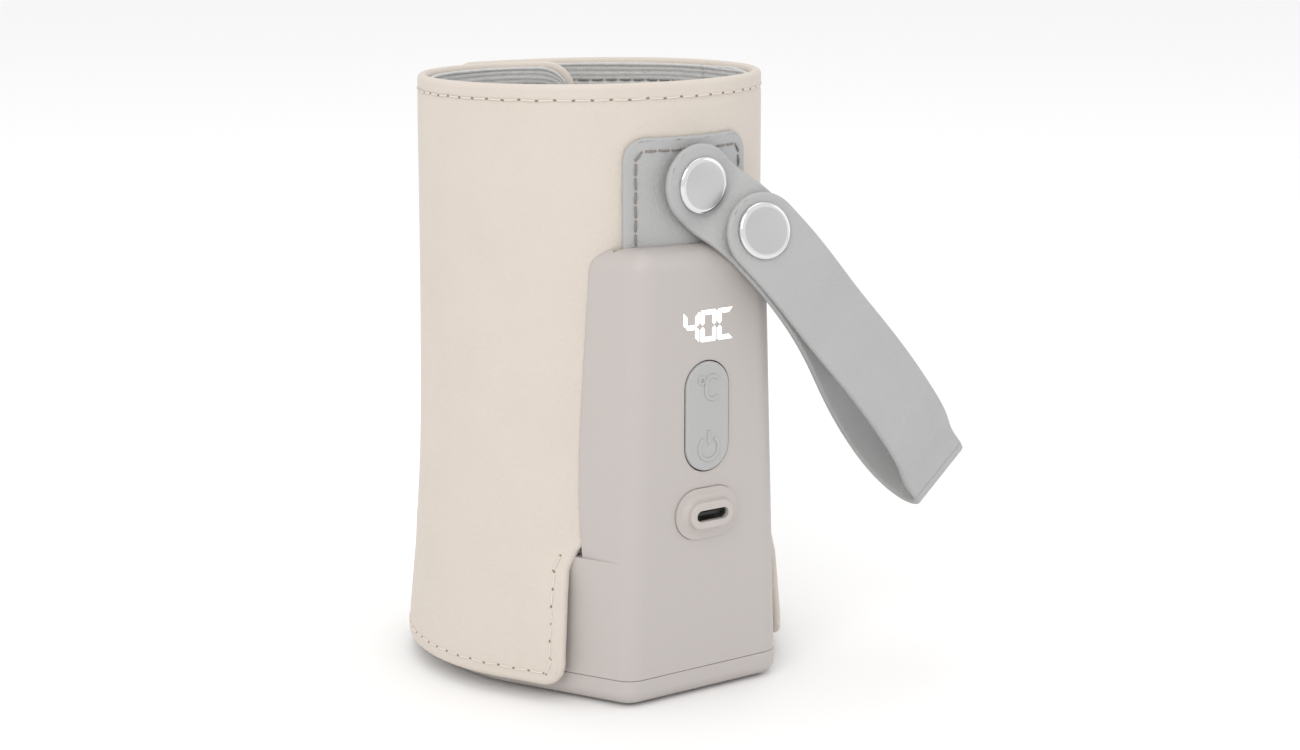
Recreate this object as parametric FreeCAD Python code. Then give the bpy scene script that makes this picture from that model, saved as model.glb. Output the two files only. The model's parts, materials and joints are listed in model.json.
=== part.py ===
import FreeCAD, Part
import math
import os
from FreeCAD import Vector

# A cordless bottle warmer: a soft wrap stands on a round base that holds the cells,
# and a slim control housing on the front carries the display, the key pad and the socket.
# Millimetres.  Origin on the floor on the bottle's axis, front towards -Y, up is +Z.

# ---------------------------------------------------------------- driving sizes
rim_height = 137.3           # top of the wrap at the front
rim_drop = 1.8               # how much lower the wrap's top is at the back
base_radius = 39.0           # at the floor
base_draft = 1.7             # how much the base narrows up to its top
foot_height = 0.6            # the rubber pad stands this much proud of the cover
parting_height = 6.5         # seam between bottom cover and housing
seam_gap = 0.15
wall = 1.8                   # moulded wall of the housing
bottom_edge_radius = 3.0
boss_radius = 3.0
pilot_radius = 0.95          # screws cut their own thread in this
screw_radius = 1.0
screw_hole_radius = 1.15

cell_diameter = 18.4
cell_length = 65.2
cell_gap = 0.8
cell_bottom = 4.2
cell_clearance = 0.1

skirt_flare = 4.0            # extra radius of the wrap where it spreads over the base
flare_height = 32.0          # height over which that spreading dies away
wrap_lean = 0.005            # how much the wrap widens per millimetre downwards
hide_thickness = 1.2         # leather
foam_thickness = 0.9
film_thickness = 0.3         # heating film
lining_thickness = 1.0
skirt_bottom = 4.0           # lower edge of the leather
wrap_clearance = 0.2         # between the hard housing and the wrap

corner_radius = 5.5
front_flat = 17.2            # half width of the flat front at the floor
front_taper = 0.0395         # how much that half width shrinks per millimetre of height
front_depth = 6.5            # the flat front stands this far in front of the base's circle
pod_flare = 22.0             # degrees that the pod's sides open towards the wrap
pod_edge_radius = 5.0

board_thickness = 1.0
board_setback = 5.4          # display board's front face behind the housing's front
back_screw_reach = 13.0      # from the middle out to the pod's back screws

digit_width = 4.2
digit_height = 7.0
digit_gap = 0.42
digit_stroke = 1.05
digit_clearance = 0.03
digit_shift = 0.35           # the figures sit slightly right of the middle

key_width = 11.6
key_height = 24.6
key_proud = 0.6
key_clearance = 0.3
key_travel = 0.5
icon_height = 0.3
icon_line = 0.72
icon_radius = 2.95
letter_radius = 2.1
letter_height = 5.9

bezel_width = 16.8
bezel_height = 11.4
bezel_clearance = 0.1
collar_width = 11.7
collar_height = 6.2
collar_proud = 2.7
slot_width = 8.6
slot_height = 2.6

snap_diameter = 12.5
snap_cap_height = 1.2
strap_width = 18.0
strap_thickness = 1.7
strap_angle = 49.5           # degrees below level
patch_margin = 7.8           # the patch is this much wider than the strap on each side
patch_thickness = 1.2
patch_corner = 5.0

closing_hinge_angle = 100.0  # where the outer flap starts, round to the right
closing_turn_angle = 155.0   # the outer flap starts to widen here
closing_end_angle = 188.0
closing_spread = 12.6        # the widened part's radius is this much larger
inner_hinge_angle = -125.0   # where the inner flap starts, round to the left
inner_end_angle = -230.0
inner_curl = 10.7            # the inner flap's radius is this much smaller
flap_clearance = 0.3

# ---------------------------------------------------------------- worked out
base_height = cell_bottom + cell_diameter + 10.4
wrap_radius = base_radius + 0.1      # outside of the wrap at the rim
flap_radius = wrap_radius + 0.3
wrap_thickness = hide_thickness + foam_thickness + film_thickness + lining_thickness
skirt_thickness = hide_thickness + foam_thickness + film_thickness
skirt_top = base_height + 1.5        # the loose part of the wrap starts here
flap_bottom = base_height + 2.6
front_y = -(base_radius + front_depth)
pod_wall = wall + 0.1        # a touch thicker than the base's wall, so the two never run flush
inner_face = front_y + pod_wall
board_front = front_y + board_setback
boss_end_y = -math.sqrt(base_radius ** 2 - back_screw_reach ** 2)
pod_top = rim_height - 35.3
pod_back_y = -(base_radius - 9.0)
digit_middle = pod_top - 17.6        # height of the figures' middle
key_middle = pod_top - 37.8
socket_middle = base_height + 9.3
snap_height = pod_top + 13.0         # upper snap fastener, on the wrap
patch_top = snap_height + 10.5
patch_half_width = strap_width / 2 + patch_margin
cover_floor = foot_height + 2.0
seat_floor_top = base_height - 1.8
seat_wall = 1.6
centre_line = FreeCAD.Vector(0, 0, 0)
beyond = wrap_radius + 45.0          # safely outside the whole warmer
within = wrap_radius - 12.0          # safely inside the wrap

os.makedirs("parts", exist_ok=True)


def save(name, shape):
    shape.exportStep("parts/" + name + ".step")
    print(name, len(shape.Solids), "solids", round(shape.Volume, 1), "mm3", shape.isValid())


# ---------------------------------------------------------------- small tools
def outward(angle):
    """Level unit direction, turned from the front (-Y) towards the right (+X)."""
    turn = math.radians(angle)
    return Vector(math.sin(turn), -math.cos(turn), 0)


def at_height(point, z):
    return Vector(point.x, point.y, z)


def disc(radius, z_low, z_high, x=0.0, y=0.0):
    return Part.makeCylinder(radius, z_high - z_low, Vector(x, y, z_low))


def block(x_low, x_high, y_low, y_high, z_low, z_high):
    corner = Vector(x_low, y_low, z_low)
    return Part.makeBox(x_high - x_low, y_high - y_low, z_high - z_low, corner)


def peg(radius, y_low, y_high, x, z):
    """A round bar along Y."""
    return Part.makeCylinder(radius, y_high - y_low, Vector(x, y_low, z), Vector(0, 1, 0))


def pill(width, height, y_low, y_high, z):
    """A bar along Y with a stadium outline, centred on x = 0."""
    radius = min(width, height) / 2
    straight = max(width, height) / 2 - radius
    spots = [(straight, radius), (straight + radius, 0), (straight, -radius),
             (-straight, -radius), (-straight - radius, 0), (-straight, radius)]
    if height > width:
        spots = [(-across, along) for along, across in spots]
    spots = [Vector(x, y_low, z + up) for x, up in spots]
    edges = [Part.Arc(*spots[:3]).toShape(), Part.LineSegment(spots[2], spots[3]).toShape(),
             Part.Arc(*spots[3:]).toShape(), Part.LineSegment(spots[5], spots[0]).toShape()]
    return Part.Face(Part.Wire(edges)).extrude(Vector(0, y_high - y_low, 0))


def ring_sector(centre, inner, outer, start, stop, z_low, z_high):
    """Part of an upright tube wall between two directions."""
    middle = (start + stop) / 2
    spots = [centre + outward(a) * outer for a in (start, middle, stop)]
    inside = [centre + outward(a) * inner for a in (stop, middle, start)]
    edges = [Part.Arc(*spots).toShape(), Part.LineSegment(spots[2], inside[0]).toShape(),
             Part.Arc(*inside).toShape(), Part.LineSegment(inside[2], spots[0]).toShape()]
    face = Part.Face(Part.Wire(edges))
    face.translate(Vector(0, 0, z_low))
    return face.extrude(Vector(0, 0, z_high - z_low))


def wrap_outside(z):
    """Outer radius of the wrap at a height."""
    spread = skirt_flare * math.exp(-(z / flare_height) ** 2)
    return wrap_radius + wrap_lean * (rim_height - z) + spread


def wrap_layer(outer_depth, inner_depth, start, stop, z_low, z_high):
    """A layer of the wrap, between two depths below its outer face."""
    steps = 8
    heights = [z_low + (z_high - z_low) * i / steps for i in range(steps + 1)]
    outer = Part.BSplineCurve()
    outer.interpolate([Vector(wrap_outside(z) - outer_depth, 0, z) for z in heights])
    inner = Part.BSplineCurve()
    inner.interpolate([Vector(wrap_outside(z) - inner_depth, 0, z) for z in heights])
    top = Part.LineSegment(outer.EndPoint, inner.EndPoint).toShape()
    bottom = Part.LineSegment(inner.StartPoint, outer.StartPoint).toShape()
    face = Part.Face(Part.Wire([outer.toShape(), top, inner.toShape(), bottom]))
    face.rotate(centre_line, Vector(0, 0, 1), start - 90)
    return face.revolve(centre_line, Vector(0, 0, 1), stop - start)


def corner_centre(z):
    return Vector(front_flat - front_taper * z, front_y + corner_radius, z)


def base_side_angle(z):
    """Direction of the straight side that joins the front corner to the round back."""
    centre = corner_centre(z)
    reach = math.hypot(centre.x, centre.y)
    tilt = math.atan2(-centre.y, centre.x)
    return tilt - math.acos((base_outside(z) - corner_radius) / reach)


def base_outside(z):
    return base_radius - base_draft * z / base_height


def base_section(z, grow):
    """Outline of the base at a height, grown outwards evenly."""
    angle = base_side_angle(z)
    centre = corner_centre(z)
    small = corner_radius + grow
    large = base_outside(z) + grow
    normal = Vector(math.cos(angle), -math.sin(angle), 0)
    halfway = Vector(math.cos((angle + math.pi / 2) / 2), -math.sin((angle + math.pi / 2) / 2), 0)
    front = centre + Vector(0, -small, 0)
    bend = centre + halfway * small
    leave = centre + normal * small
    touch = at_height(normal * large, z)
    left = [Vector(-p.x, p.y, p.z) for p in (front, bend, leave, touch)]
    back = Vector(0, large, z)
    edges = [Part.LineSegment(left[0], front).toShape(),
             Part.Arc(front, bend, leave).toShape(),
             Part.LineSegment(leave, touch).toShape(),
             Part.Arc(touch, back, left[3]).toShape(),
             Part.LineSegment(left[3], left[2]).toShape(),
             Part.Arc(left[2], left[1], left[0]).toShape()]
    return Part.Wire(edges)


def base_solid(z_low, z_high, grow_low, grow_high):
    low = base_section(z_low, grow_low)
    high = base_section(z_high, grow_high)
    return Part.makeLoft([low, high], True, True)


def pod_section(z, shrink, back_y):
    """Outline of the control housing: flat front, round corners, sides that open backwards."""
    angle = math.radians(pod_flare)
    centre = corner_centre(z)
    radius = corner_radius - shrink
    normal = Vector(math.cos(angle), -math.sin(angle), 0)
    halfway = Vector(math.cos((angle + math.pi / 2) / 2), -math.sin((angle + math.pi / 2) / 2), 0)
    front = centre + Vector(0, -radius, 0)
    bend = centre + halfway * radius
    leave = centre + normal * radius
    run = (back_y - leave.y) / math.cos(angle)
    back = leave + Vector(math.sin(angle), math.cos(angle), 0) * run
    left = [Vector(-p.x, p.y, p.z) for p in (front, bend, leave, back)]
    edges = [Part.LineSegment(left[0], front).toShape(),
             Part.Arc(front, bend, leave).toShape(),
             Part.LineSegment(leave, back).toShape(),
             Part.LineSegment(back, left[3]).toShape(),
             Part.LineSegment(left[3], left[2]).toShape(),
             Part.Arc(left[2], left[1], left[0]).toShape()]
    return Part.Wire(edges)


def pod_solid(z_low, z_high, shrink, back_y):
    sections = [pod_section(z_low, shrink, back_y), pod_section(z_high, shrink, back_y)]
    return Part.makeLoft(sections, True, True)


def screw(spot, direction, length, head_radius=1.9, head_height=1.1, shank_radius=screw_radius):
    """A small screw with a cross slot; direction is where its tip points."""
    head = Part.makeCylinder(head_radius, head_height, spot, direction)
    shank = Part.makeCylinder(shank_radius, length, spot + direction * head_height, direction)
    body = head.fuse(shank)
    facing = FreeCAD.Rotation(Vector(0, 0, 1), direction)
    for quarter in (0, 90):
        slot = Part.makeBox(1.2 * head_radius, 0.5, head_height * 0.5, Vector(-0.6 * head_radius, -0.25, 0))
        slot.rotate(centre_line, Vector(0, 0, 1), quarter)
        slot.Placement = FreeCAD.Placement(spot, facing).multiply(slot.Placement)
        body = body.cut(slot)
    return body.removeSplitter()


def group(shapes):
    return Part.makeCompound(shapes)


def above_rim():
    """Everything above the sloping top of the wrap."""
    tilt = math.degrees(math.atan(rim_drop / (2 * wrap_radius)))
    lid = block(-beyond, beyond, -beyond, beyond, 0, 60)
    lid.rotate(Vector(0, -wrap_radius, 0), Vector(1, 0, 0), -tilt)
    lid.translate(Vector(0, 0, rim_height))
    return lid


rim_cut = above_rim()

# ---------------------------------------------------------------- base and control housing
screw_ring_radius = base_radius - 7.46
screw_spots = [outward(a) * screw_ring_radius for a in (45, 135, 225, 315)]
foot_radius = base_radius - 14.0
foot_recess = 1.0
screw_head_level = foot_height + 1.5
seat_radius = base_radius - 8.0
seat_screw_angles = (60, 180, 300)
seat_screw_radius = base_radius - 5.8
ceiling = base_height - 2.0          # underside of the housing's top wall
back_screw_spots = [(back_screw_reach, base_height + 17.5), (back_screw_reach - 0.4, pod_top - 10.0)]


def make_outer_base():
    solid = base_solid(foot_height, base_height, 0, 0)
    low_edges = [e for e in solid.Edges if e.BoundBox.ZMax < foot_height + 0.01]
    return solid.makeFillet(bottom_edge_radius, low_edges)


def make_outer_pod():
    solid = pod_solid(base_height - 0.01, pod_top, 0, pod_back_y)
    top_edges = []
    for edge in solid.Edges:
        box = edge.BoundBox
        if box.ZMin > pod_top - 0.01 and box.YMin < pod_back_y - 1:
            top_edges.append(edge)
    solid = solid.makeFillet(pod_edge_radius, top_edges)
    hollow = wrap_layer(-wrap_clearance, 30.0, -60, 60, base_height - 1, pod_top + 1)
    patch_outside = wrap_outside(pod_top) + patch_thickness + 0.25
    tuck = ring_sector(centre_line, within, patch_outside, -27, 27, pod_top - 3.5, pod_top + 1)
    return solid.cut(hollow).cut(tuck)


outer_base = make_outer_base()
outer_pod = make_outer_pod()
inner_base = base_solid(parting_height - 1, ceiling, -wall, -wall)
slice_low = block(-beyond, beyond, -beyond, beyond, -1, parting_height - seam_gap)
slice_high = block(-beyond, beyond, -beyond, beyond, parting_height, rim_height)


def digit_segments(letter, x_left, z_low, spread, y_low, y_high):
    """Prisms of one seven segment figure; spread widens every segment."""
    w = digit_width
    h = digit_height
    t = digit_stroke
    g = 0.16
    mid = h / 2
    shapes = {
        "a": [(g, h), (w - g, h), (w - g - t, h - t), (g + t, h - t)],
        "d": [(g, 0), (g + t, t), (w - g - t, t), (w - g, 0)],
        "g": [(t / 2 + g, mid), (t + g, mid + t / 2), (w - t - g, mid + t / 2),
              (w - t / 2 - g, mid), (w - t - g, mid - t / 2), (t + g, mid - t / 2)],
        "f": [(0, h - g), (t, h - t - g), (t, mid + t / 2 + g), (t / 2, mid + g), (0, mid + t / 2 + g)],
        "b": [(w, h - g), (w, mid + t / 2 + g), (w - t / 2, mid + g), (w - t, mid + t / 2 + g),
              (w - t, h - t - g)],
    }
    shapes["e"] = [(x, h - z) for x, z in shapes["f"]]
    shapes["c"] = [(x, h - z) for x, z in shapes["b"]]
    lit = {"4": "bcfg", "0": "abcdef", "C": "adef"}
    prisms = []
    for name in lit[letter]:
        spots = [Vector(x_left + x, y_low, z_low + z) for x, z in shapes[name]]
        wire = Part.makePolygon(spots + [spots[0]])
        if spread > 0:
            wire = wire.makeOffset2D(spread, 2)
        prisms.append(Part.Face(wire).extrude(Vector(0, y_high - y_low, 0)))
    return prisms


def display_prisms(spread, y_low, y_high):
    total = 3 * digit_width + 2 * digit_gap
    z_low = digit_middle - digit_height / 2
    prisms = []
    for place, letter in enumerate("40C"):
        x_left = digit_shift - total / 2 + place * (digit_width + digit_gap)
        prisms += digit_segments(letter, x_left, z_low, spread, y_low, y_high)
    return prisms


def make_main_housing():
    shell = outer_base.common(slice_high)
    shell = shell.fuse(outer_pod)
    pod_floor = ceiling - 1.5
    pod_inside = pod_solid(pod_floor, pod_top - wall, pod_wall, pod_back_y)
    keep = wrap_layer(-wrap_clearance - wall, 30.0, -60, 60, base_height, pod_top)
    window = ring_sector(centre_line, within - 6, beyond, -24, 24, base_height - 8, pod_top - 3.6)
    side_room = pod_inside.cut(keep).common(block(-beyond, beyond, -beyond, 0, pod_floor, pod_top))
    shell = shell.cut(inner_base)
    shell = shell.cut(pod_inside.common(window)).cut(side_room)
    seat_hole = disc(seat_radius, seat_floor_top - seat_wall - 0.3, base_height + 1)
    for spot in screw_spots:
        boss = disc(boss_radius, parting_height + 4, ceiling + 0.1, spot.x, spot.y)
        shell = shell.fuse(boss.cut(seat_hole))
        shell = shell.cut(disc(pilot_radius, parting_height, parting_height + 11, spot.x, spot.y))
    for angle in seat_screw_angles:
        spot = outward(angle) * seat_screw_radius
        boss = disc(boss_radius, base_height - 9, ceiling + 0.1, spot.x, spot.y).cut(seat_hole)
        shell = shell.fuse(boss.common(inner_base))
        shell = shell.cut(disc(pilot_radius, base_height - 8, base_height + 1, spot.x, spot.y))
    shell = shell.cut(seat_hole)
    for x, z in back_screw_spots:
        for side in (-1, 1):
            boss = peg(1.9, inner_face - 0.5, boss_end_y, side * x, z)
            shell = shell.fuse(boss)
            shell = shell.cut(peg(pilot_radius - 0.15, inner_face + 0.8, boss_end_y + 1, side * x, z))
    opening = pill(key_width + 2 * key_clearance, key_height + 2 * key_clearance,
                   front_y - 1, inner_face + 0.2, key_middle)
    shell = shell.cut(opening)
    bezel_hole = pill(bezel_width + 2 * bezel_clearance, bezel_height + 2 * bezel_clearance,
                      front_y - 1, inner_face + 0.2, socket_middle)
    shell = shell.cut(bezel_hole)
    for prism in display_prisms(digit_clearance, front_y - 0.5, inner_face + 0.2):
        shell = shell.cut(prism)
    return shell.removeSplitter()


def make_bottom_cover():
    shell = outer_base.common(slice_low)
    room = base_solid(cover_floor, parting_height + 2, -wall, -wall)
    lip_low = parting_height - 2.5
    lip_inside = base_solid(lip_low - 0.5, parting_height + 3, -wall - 1.4, -wall - 1.4)
    lip = base_solid(lip_low, parting_height + 2.5, -wall - 0.2, -wall - 0.2).cut(lip_inside)
    foot_of_lip = base_solid(lip_low, parting_height - 1, -wall + 0.2, -wall + 0.2).cut(lip_inside)
    shell = shell.cut(room).fuse(foot_of_lip).fuse(lip)
    for spot in screw_spots:
        shell = shell.fuse(disc(boss_radius + 0.4, cover_floor - 0.5, parting_height + 3.8, spot.x, spot.y))
        shell = shell.cut(disc(screw_hole_radius, 0, parting_height + 5, spot.x, spot.y))
        shell = shell.cut(disc(2.3, 0, screw_head_level + 1.1, spot.x, spot.y))
    shell = shell.cut(disc(foot_radius + 0.1, 0, foot_height + foot_recess))
    return shell.removeSplitter()


def make_foot_pad():
    pad = disc(foot_radius, 0, foot_height + foot_recess)
    rims = [e for e in pad.Edges if e.BoundBox.ZMax < 0.01]
    return pad.makeChamfer(0.3, rims)


def make_cover_screws():
    upwards = Vector(0, 0, 1)
    return group([screw(at_height(s, screw_head_level), upwards, 11.0) for s in screw_spots])


save("main_housing", make_main_housing())
save("bottom_cover", make_bottom_cover())
save("foot_pad", make_foot_pad())
save("cover_screws", make_cover_screws())

# ---------------------------------------------------------------- bottle seat
seat_flange_radius = base_radius - 4.0
seat_flange_top = base_height + 1.2
seat_clearance = 0.2
sensor_radius = 3.0
pad_thickness = 1.0


def make_bottle_seat():
    plug = disc(seat_radius - seat_clearance, seat_floor_top - seat_wall, base_height)
    plug = plug.fuse(disc(seat_flange_radius, base_height, seat_flange_top))
    dish = disc(seat_radius - seat_clearance - seat_wall, seat_floor_top, seat_flange_top + 1)
    seat = plug.cut(dish)
    seat = seat.cut(disc(sensor_radius + 0.15, seat_floor_top - 3, seat_floor_top + 1))
    for angle in seat_screw_angles:
        spot = outward(angle) * seat_screw_radius
        seat = seat.cut(disc(screw_hole_radius, base_height - 1, seat_flange_top + 1, spot.x, spot.y))
    return seat.removeSplitter()


def make_seat_pad():
    pad_radius = seat_radius - seat_clearance - seat_wall - 0.3
    pad = disc(pad_radius, seat_floor_top, seat_floor_top + pad_thickness)
    for radius in (10, 16, 22):
        ring = disc(radius + 0.6, seat_floor_top + pad_thickness - 0.3, seat_floor_top + 5)
        pad = pad.cut(ring.cut(disc(radius, seat_floor_top, seat_floor_top + 6)))
    return pad.cut(disc(sensor_radius + 0.4, seat_floor_top - 1, seat_floor_top + 5))


def make_temperature_sensor():
    top = seat_floor_top + pad_thickness + 0.3
    button = disc(sensor_radius, seat_floor_top - 2.4, top)
    rims = [e for e in button.Edges if e.BoundBox.ZMin > top - 0.01]
    button = button.makeFillet(0.8, rims)
    return button.fuse(disc(sensor_radius + 1.2, seat_floor_top - 2.6, seat_floor_top - seat_wall))


def make_seat_screws():
    screws = []
    for angle in seat_screw_angles:
        spot = at_height(outward(angle) * seat_screw_radius, seat_flange_top + 1.1)
        screws.append(screw(spot, Vector(0, 0, -1), 6.0, 1.5))
    return group(screws)


save("bottle_seat", make_bottle_seat())
save("seat_pad", make_seat_pad())
save("temperature_sensor", make_temperature_sensor())
save("seat_screws", make_seat_screws())

# ---------------------------------------------------------------- cells and power board
cell_front = front_y + 8.5
cell_offset = (cell_diameter + cell_gap) / 2
cell_middle = cell_bottom + cell_diameter / 2
power_board_bottom = cell_bottom + cell_diameter + 1.8
power_board_thickness = 1.6
power_board_half = 21.0
power_board_front = front_y + 15.5
power_board_back = 22.0


def make_battery_cells():
    cells = []
    for side in (-1, 1):
        tip_end = cell_front + cell_length
        body = peg(cell_diameter / 2, cell_front, tip_end - 1.0, side * cell_offset, cell_middle)
        tip = peg(3.0, tip_end - 1.2, tip_end, side * cell_offset, cell_middle)
        cells.append(body.fuse(tip).removeSplitter())
    return group(cells)


def make_battery_holder():
    """A tray under the cells with four posts that carry the power board."""
    side_reach = cell_offset + cell_diameter / 2 + 1.2
    tray_back = cell_front + cell_length - 8
    holder = block(-side_reach, side_reach, cell_front + 6, tray_back, cover_floor, cell_bottom + 5.0)
    for side in (-1, 1):
        for y in (-16.0, 8.0):
            x_near = side * (side_reach - 0.8)
            x_far = side * (side_reach + 1.2)
            post = block(min(x_near, x_far), max(x_near, x_far), y, y + 4, cover_floor, power_board_bottom)
            holder = holder.fuse(post)
    for side in (-1, 1):
        bed = peg(cell_diameter / 2 + cell_clearance, -beyond, beyond, side * cell_offset, cell_middle)
        holder = holder.cut(bed)
    for spot in screw_spots:
        holder = holder.cut(disc(boss_radius + 0.8, 0, power_board_bottom, spot.x, spot.y))
    return holder.removeSplitter()


def make_battery_tabs():
    tip_end = cell_front + cell_length
    back = block(-cell_offset - 3, cell_offset + 3, tip_end, tip_end + 0.2, cell_middle - 3, cell_middle + 3)
    front = []
    for side in (-1, 1):
        x = side * cell_offset
        front.append(block(x - 3, x + 3, cell_front - 0.2, cell_front, cell_middle - 3, cell_middle + 9.5))
    return group([back] + front)


def make_power_board():
    low = power_board_bottom
    board = block(-power_board_half, power_board_half, power_board_front, power_board_back,
                  low, low + power_board_thickness)
    for spot in screw_spots:
        board = board.cut(disc(boss_radius + 0.5, low - 1, low + power_board_thickness + 1, spot.x, spot.y))
    return board


def make_power_parts():
    top = power_board_bottom + power_board_thickness
    chips = [block(-14, -6, -18, -10, top, top + 1.0), block(-4, 1, -17, -12, top, top + 0.9),
             block(5, 13, -19, -11, top, top + 2.2), block(-16, -11, 8, 14, top, top + 1.6),
             block(11, 16, 9, 15, top, top + 1.6)]
    for place in range(5):
        x = -12 + 6 * place
        chips.append(block(x, x + 1.6, -6.5, -5.7, top, top + 0.7))
    return group(chips)


def bent_tube(spots, radius, bend):
    """A round lead through the given points, with an arc of one radius at each corner."""
    edges = []
    start = spots[0]
    for before, corner, after in zip(spots, spots[1:], spots[2:]):
        first = (before - corner).normalize()
        second = (after - corner).normalize()
        half_angle = first.getAngle(second) / 2
        cut_back = bend / math.tan(half_angle)
        enter = corner + first * cut_back
        leave = corner + second * cut_back
        centre = corner + (first + second).normalize() * (bend / math.sin(half_angle))
        middle = centre + (corner - centre).normalize() * bend
        edges.append(Part.LineSegment(start, enter).toShape())
        edges.append(Part.Arc(enter, middle, leave).toShape())
        start = leave
    edges.append(Part.LineSegment(start, spots[-1]).toShape())
    path = Part.Wire(edges)
    tangent = (spots[1] - spots[0]).normalize()
    ring = Part.Wire(Part.Circle(spots[0], tangent, radius).toShape())
    return path.makePipeShell([ring], True, True)


def make_battery_leads():
    leads = []
    top = power_board_bottom
    for side in (-1, 1):
        x = side * cell_offset
        start = Vector(x, cell_front - 0.8, cell_middle + 5)
        corner = Vector(x, cell_front - 0.8, top + 3.2)
        end = Vector(x, power_board_front + 3, top + 3.2)
        final = Vector(x, power_board_front + 3, top + power_board_thickness)
        leads.append(bent_tube([start, corner, end, final], 0.6, 1.2))
    return group(leads)


save("battery_cells", make_battery_cells())
save("battery_holder", make_battery_holder())
save("battery_tabs", make_battery_tabs())
save("battery_leads", make_battery_leads())
save("power_board", make_power_board())
save("power_board_parts", make_power_parts())

# ---------------------------------------------------------------- display board, key pad and socket
board_back = board_front + board_thickness
board_half = 10.6
board_low = base_height + 4.4
board_high = pod_top - 5.0
guide_depth = 2.2
key_pivot_y = front_y + 0.9
flange_front = inner_face + 1.2
flange_thickness = 0.8
key_step = key_height * 0.285        # height of each key's centre from the pad's centre


def make_display_board():
    return block(-board_half, board_half, board_front, board_back, board_low, board_high)


def make_light_guide():
    total = 3 * digit_width + 2 * digit_gap
    low = digit_middle - digit_height / 2 - 0.8
    reach = total / 2 + 0.8
    body = block(digit_shift - reach, digit_shift + reach, inner_face, inner_face + guide_depth,
                 low, low + digit_height + 1.6)
    for prism in display_prisms(0, front_y, inner_face + 0.5):
        body = body.fuse(prism)
    return body


def make_display_leds():
    low = digit_middle - digit_height / 2
    leds = []
    for column in range(6):
        x = -5.9 + 2.4 * column
        for row in range(2):
            z = low + 1.4 + 3.4 * row
            leds.append(block(x, x + 1.0, inner_face + guide_depth + 0.3, board_front, z, z + 0.8))
    return group(leds)


def arc_bar(x, z, radius, line, start, stop):
    """A raised arc on the key pad's face; angles run clockwise from the top."""
    spots = []
    for r, sweep in ((radius, (start, (start + stop) / 2, stop)),
                     (radius - line, (stop, (start + stop) / 2, start))):
        for angle in sweep:
            turn = math.radians(angle)
            spots.append(Vector(x + r * math.sin(turn), 0, z + r * math.cos(turn)))
    edges = [Part.Arc(*spots[:3]).toShape(), Part.LineSegment(spots[2], spots[3]).toShape(),
             Part.Arc(*spots[3:]).toShape(), Part.LineSegment(spots[5], spots[0]).toShape()]
    face = Part.Face(Part.Wire(edges))
    face.translate(Vector(0, front_y - key_proud - icon_height, 0))
    return face.extrude(Vector(0, icon_height + 0.3, 0))


def letter_icon(x, z):
    """The C of the temperature key: two arcs joined by an upright."""
    rise = letter_height / 2 - letter_radius
    top = arc_bar(x, z + rise, letter_radius, icon_line, 270, 415)
    foot = arc_bar(x, z - rise, letter_radius, icon_line, 125, 270)
    low_y = front_y - key_proud - icon_height
    upright = block(x - letter_radius, x - letter_radius + icon_line, low_y, low_y + icon_height + 0.3,
                    z - rise, z + rise)
    return top.fuse(upright).fuse(foot).removeSplitter()


def degree_icon(x, z):
    low_y = front_y - key_proud - icon_height
    high_y = low_y + icon_height + 0.3
    return peg(1.0, low_y, high_y, x, z).cut(peg(0.5, low_y - 1, high_y + 1, x, z))


def power_icon(x, z):
    """An open ring with an upright bar through its gap."""
    ring = arc_bar(x, z, icon_radius, icon_line, 35, 325)
    low_y = front_y - key_proud - icon_height
    half_line = icon_line / 2
    return ring.fuse(block(x - half_line, x + half_line, low_y, low_y + icon_height + 0.3, z + 1.0, z + 4.0))


def make_key_pad():
    face_y = front_y - key_proud
    pad = pill(key_width, key_height, face_y, flange_front + flange_thickness, key_middle)
    rims = [e for e in pad.Edges if e.BoundBox.YMax < face_y + 0.01]
    pad = pad.makeFillet(0.5, rims)
    pad = pad.fuse(pill(key_width + 2.4, key_height + 2.4, flange_front, flange_front + flange_thickness,
                        key_middle))
    upper = key_middle + key_step - 0.6
    lower = key_middle - key_step - 0.2
    icons = [letter_icon(1.1, upper), degree_icon(-1.8, upper + 1.85), power_icon(0.2, lower)]
    for icon in icons:
        front = [e for e in icon.Edges if e.BoundBox.YMax < face_y - icon_height + 0.01]
        icon = icon.makeFillet(icon_height * 0.6, front)
        pad = pad.fuse(icon)
    return pad.removeSplitter()


def make_key_contacts():
    pills = []
    low = flange_front + flange_thickness
    for side in (-1, 1):
        z = key_middle + side * key_step
        pills.append(peg(2.0, low, board_front - key_travel - 0.15, 0, z))
    return group(pills)


def make_socket_bezel():
    z = socket_middle
    base_front = front_y - 0.5
    collar_front = front_y - collar_proud
    base = pill(bezel_width, bezel_height, base_front, inner_face, z)
    collar = pill(collar_width, collar_height, collar_front, base_front + 0.5, z)
    bezel = base.fuse(collar).removeSplitter()
    joint = []
    for edge in bezel.Edges:
        box = edge.BoundBox
        level = box.YMax - box.YMin < 0.01 and abs(box.YMin - base_front) < 0.01
        inside = max(box.ZMax - z, z - box.ZMin) < collar_height / 2 + 0.01
        if level and inside:
            joint.append(edge)
    bezel = bezel.makeFillet(1.5, joint)
    lip = [e for e in bezel.Edges
           if abs(e.BoundBox.YMin - collar_front) < 0.01 and abs(e.BoundBox.YMax - collar_front) < 0.01]
    bezel = bezel.makeFillet(0.5, lip)
    flange = pill(bezel_width + 2.0, bezel_height + 2.0, inner_face, inner_face + 0.8, z)
    bezel = bezel.fuse(flange)
    bezel = bezel.cut(pill(slot_width + 0.7, slot_height + 0.7, collar_front + 1.2, inner_face + 2, z))
    bezel = bezel.cut(pill(slot_width, slot_height, collar_front - 1, inner_face + 2, z))
    return bezel.removeSplitter()


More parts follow.
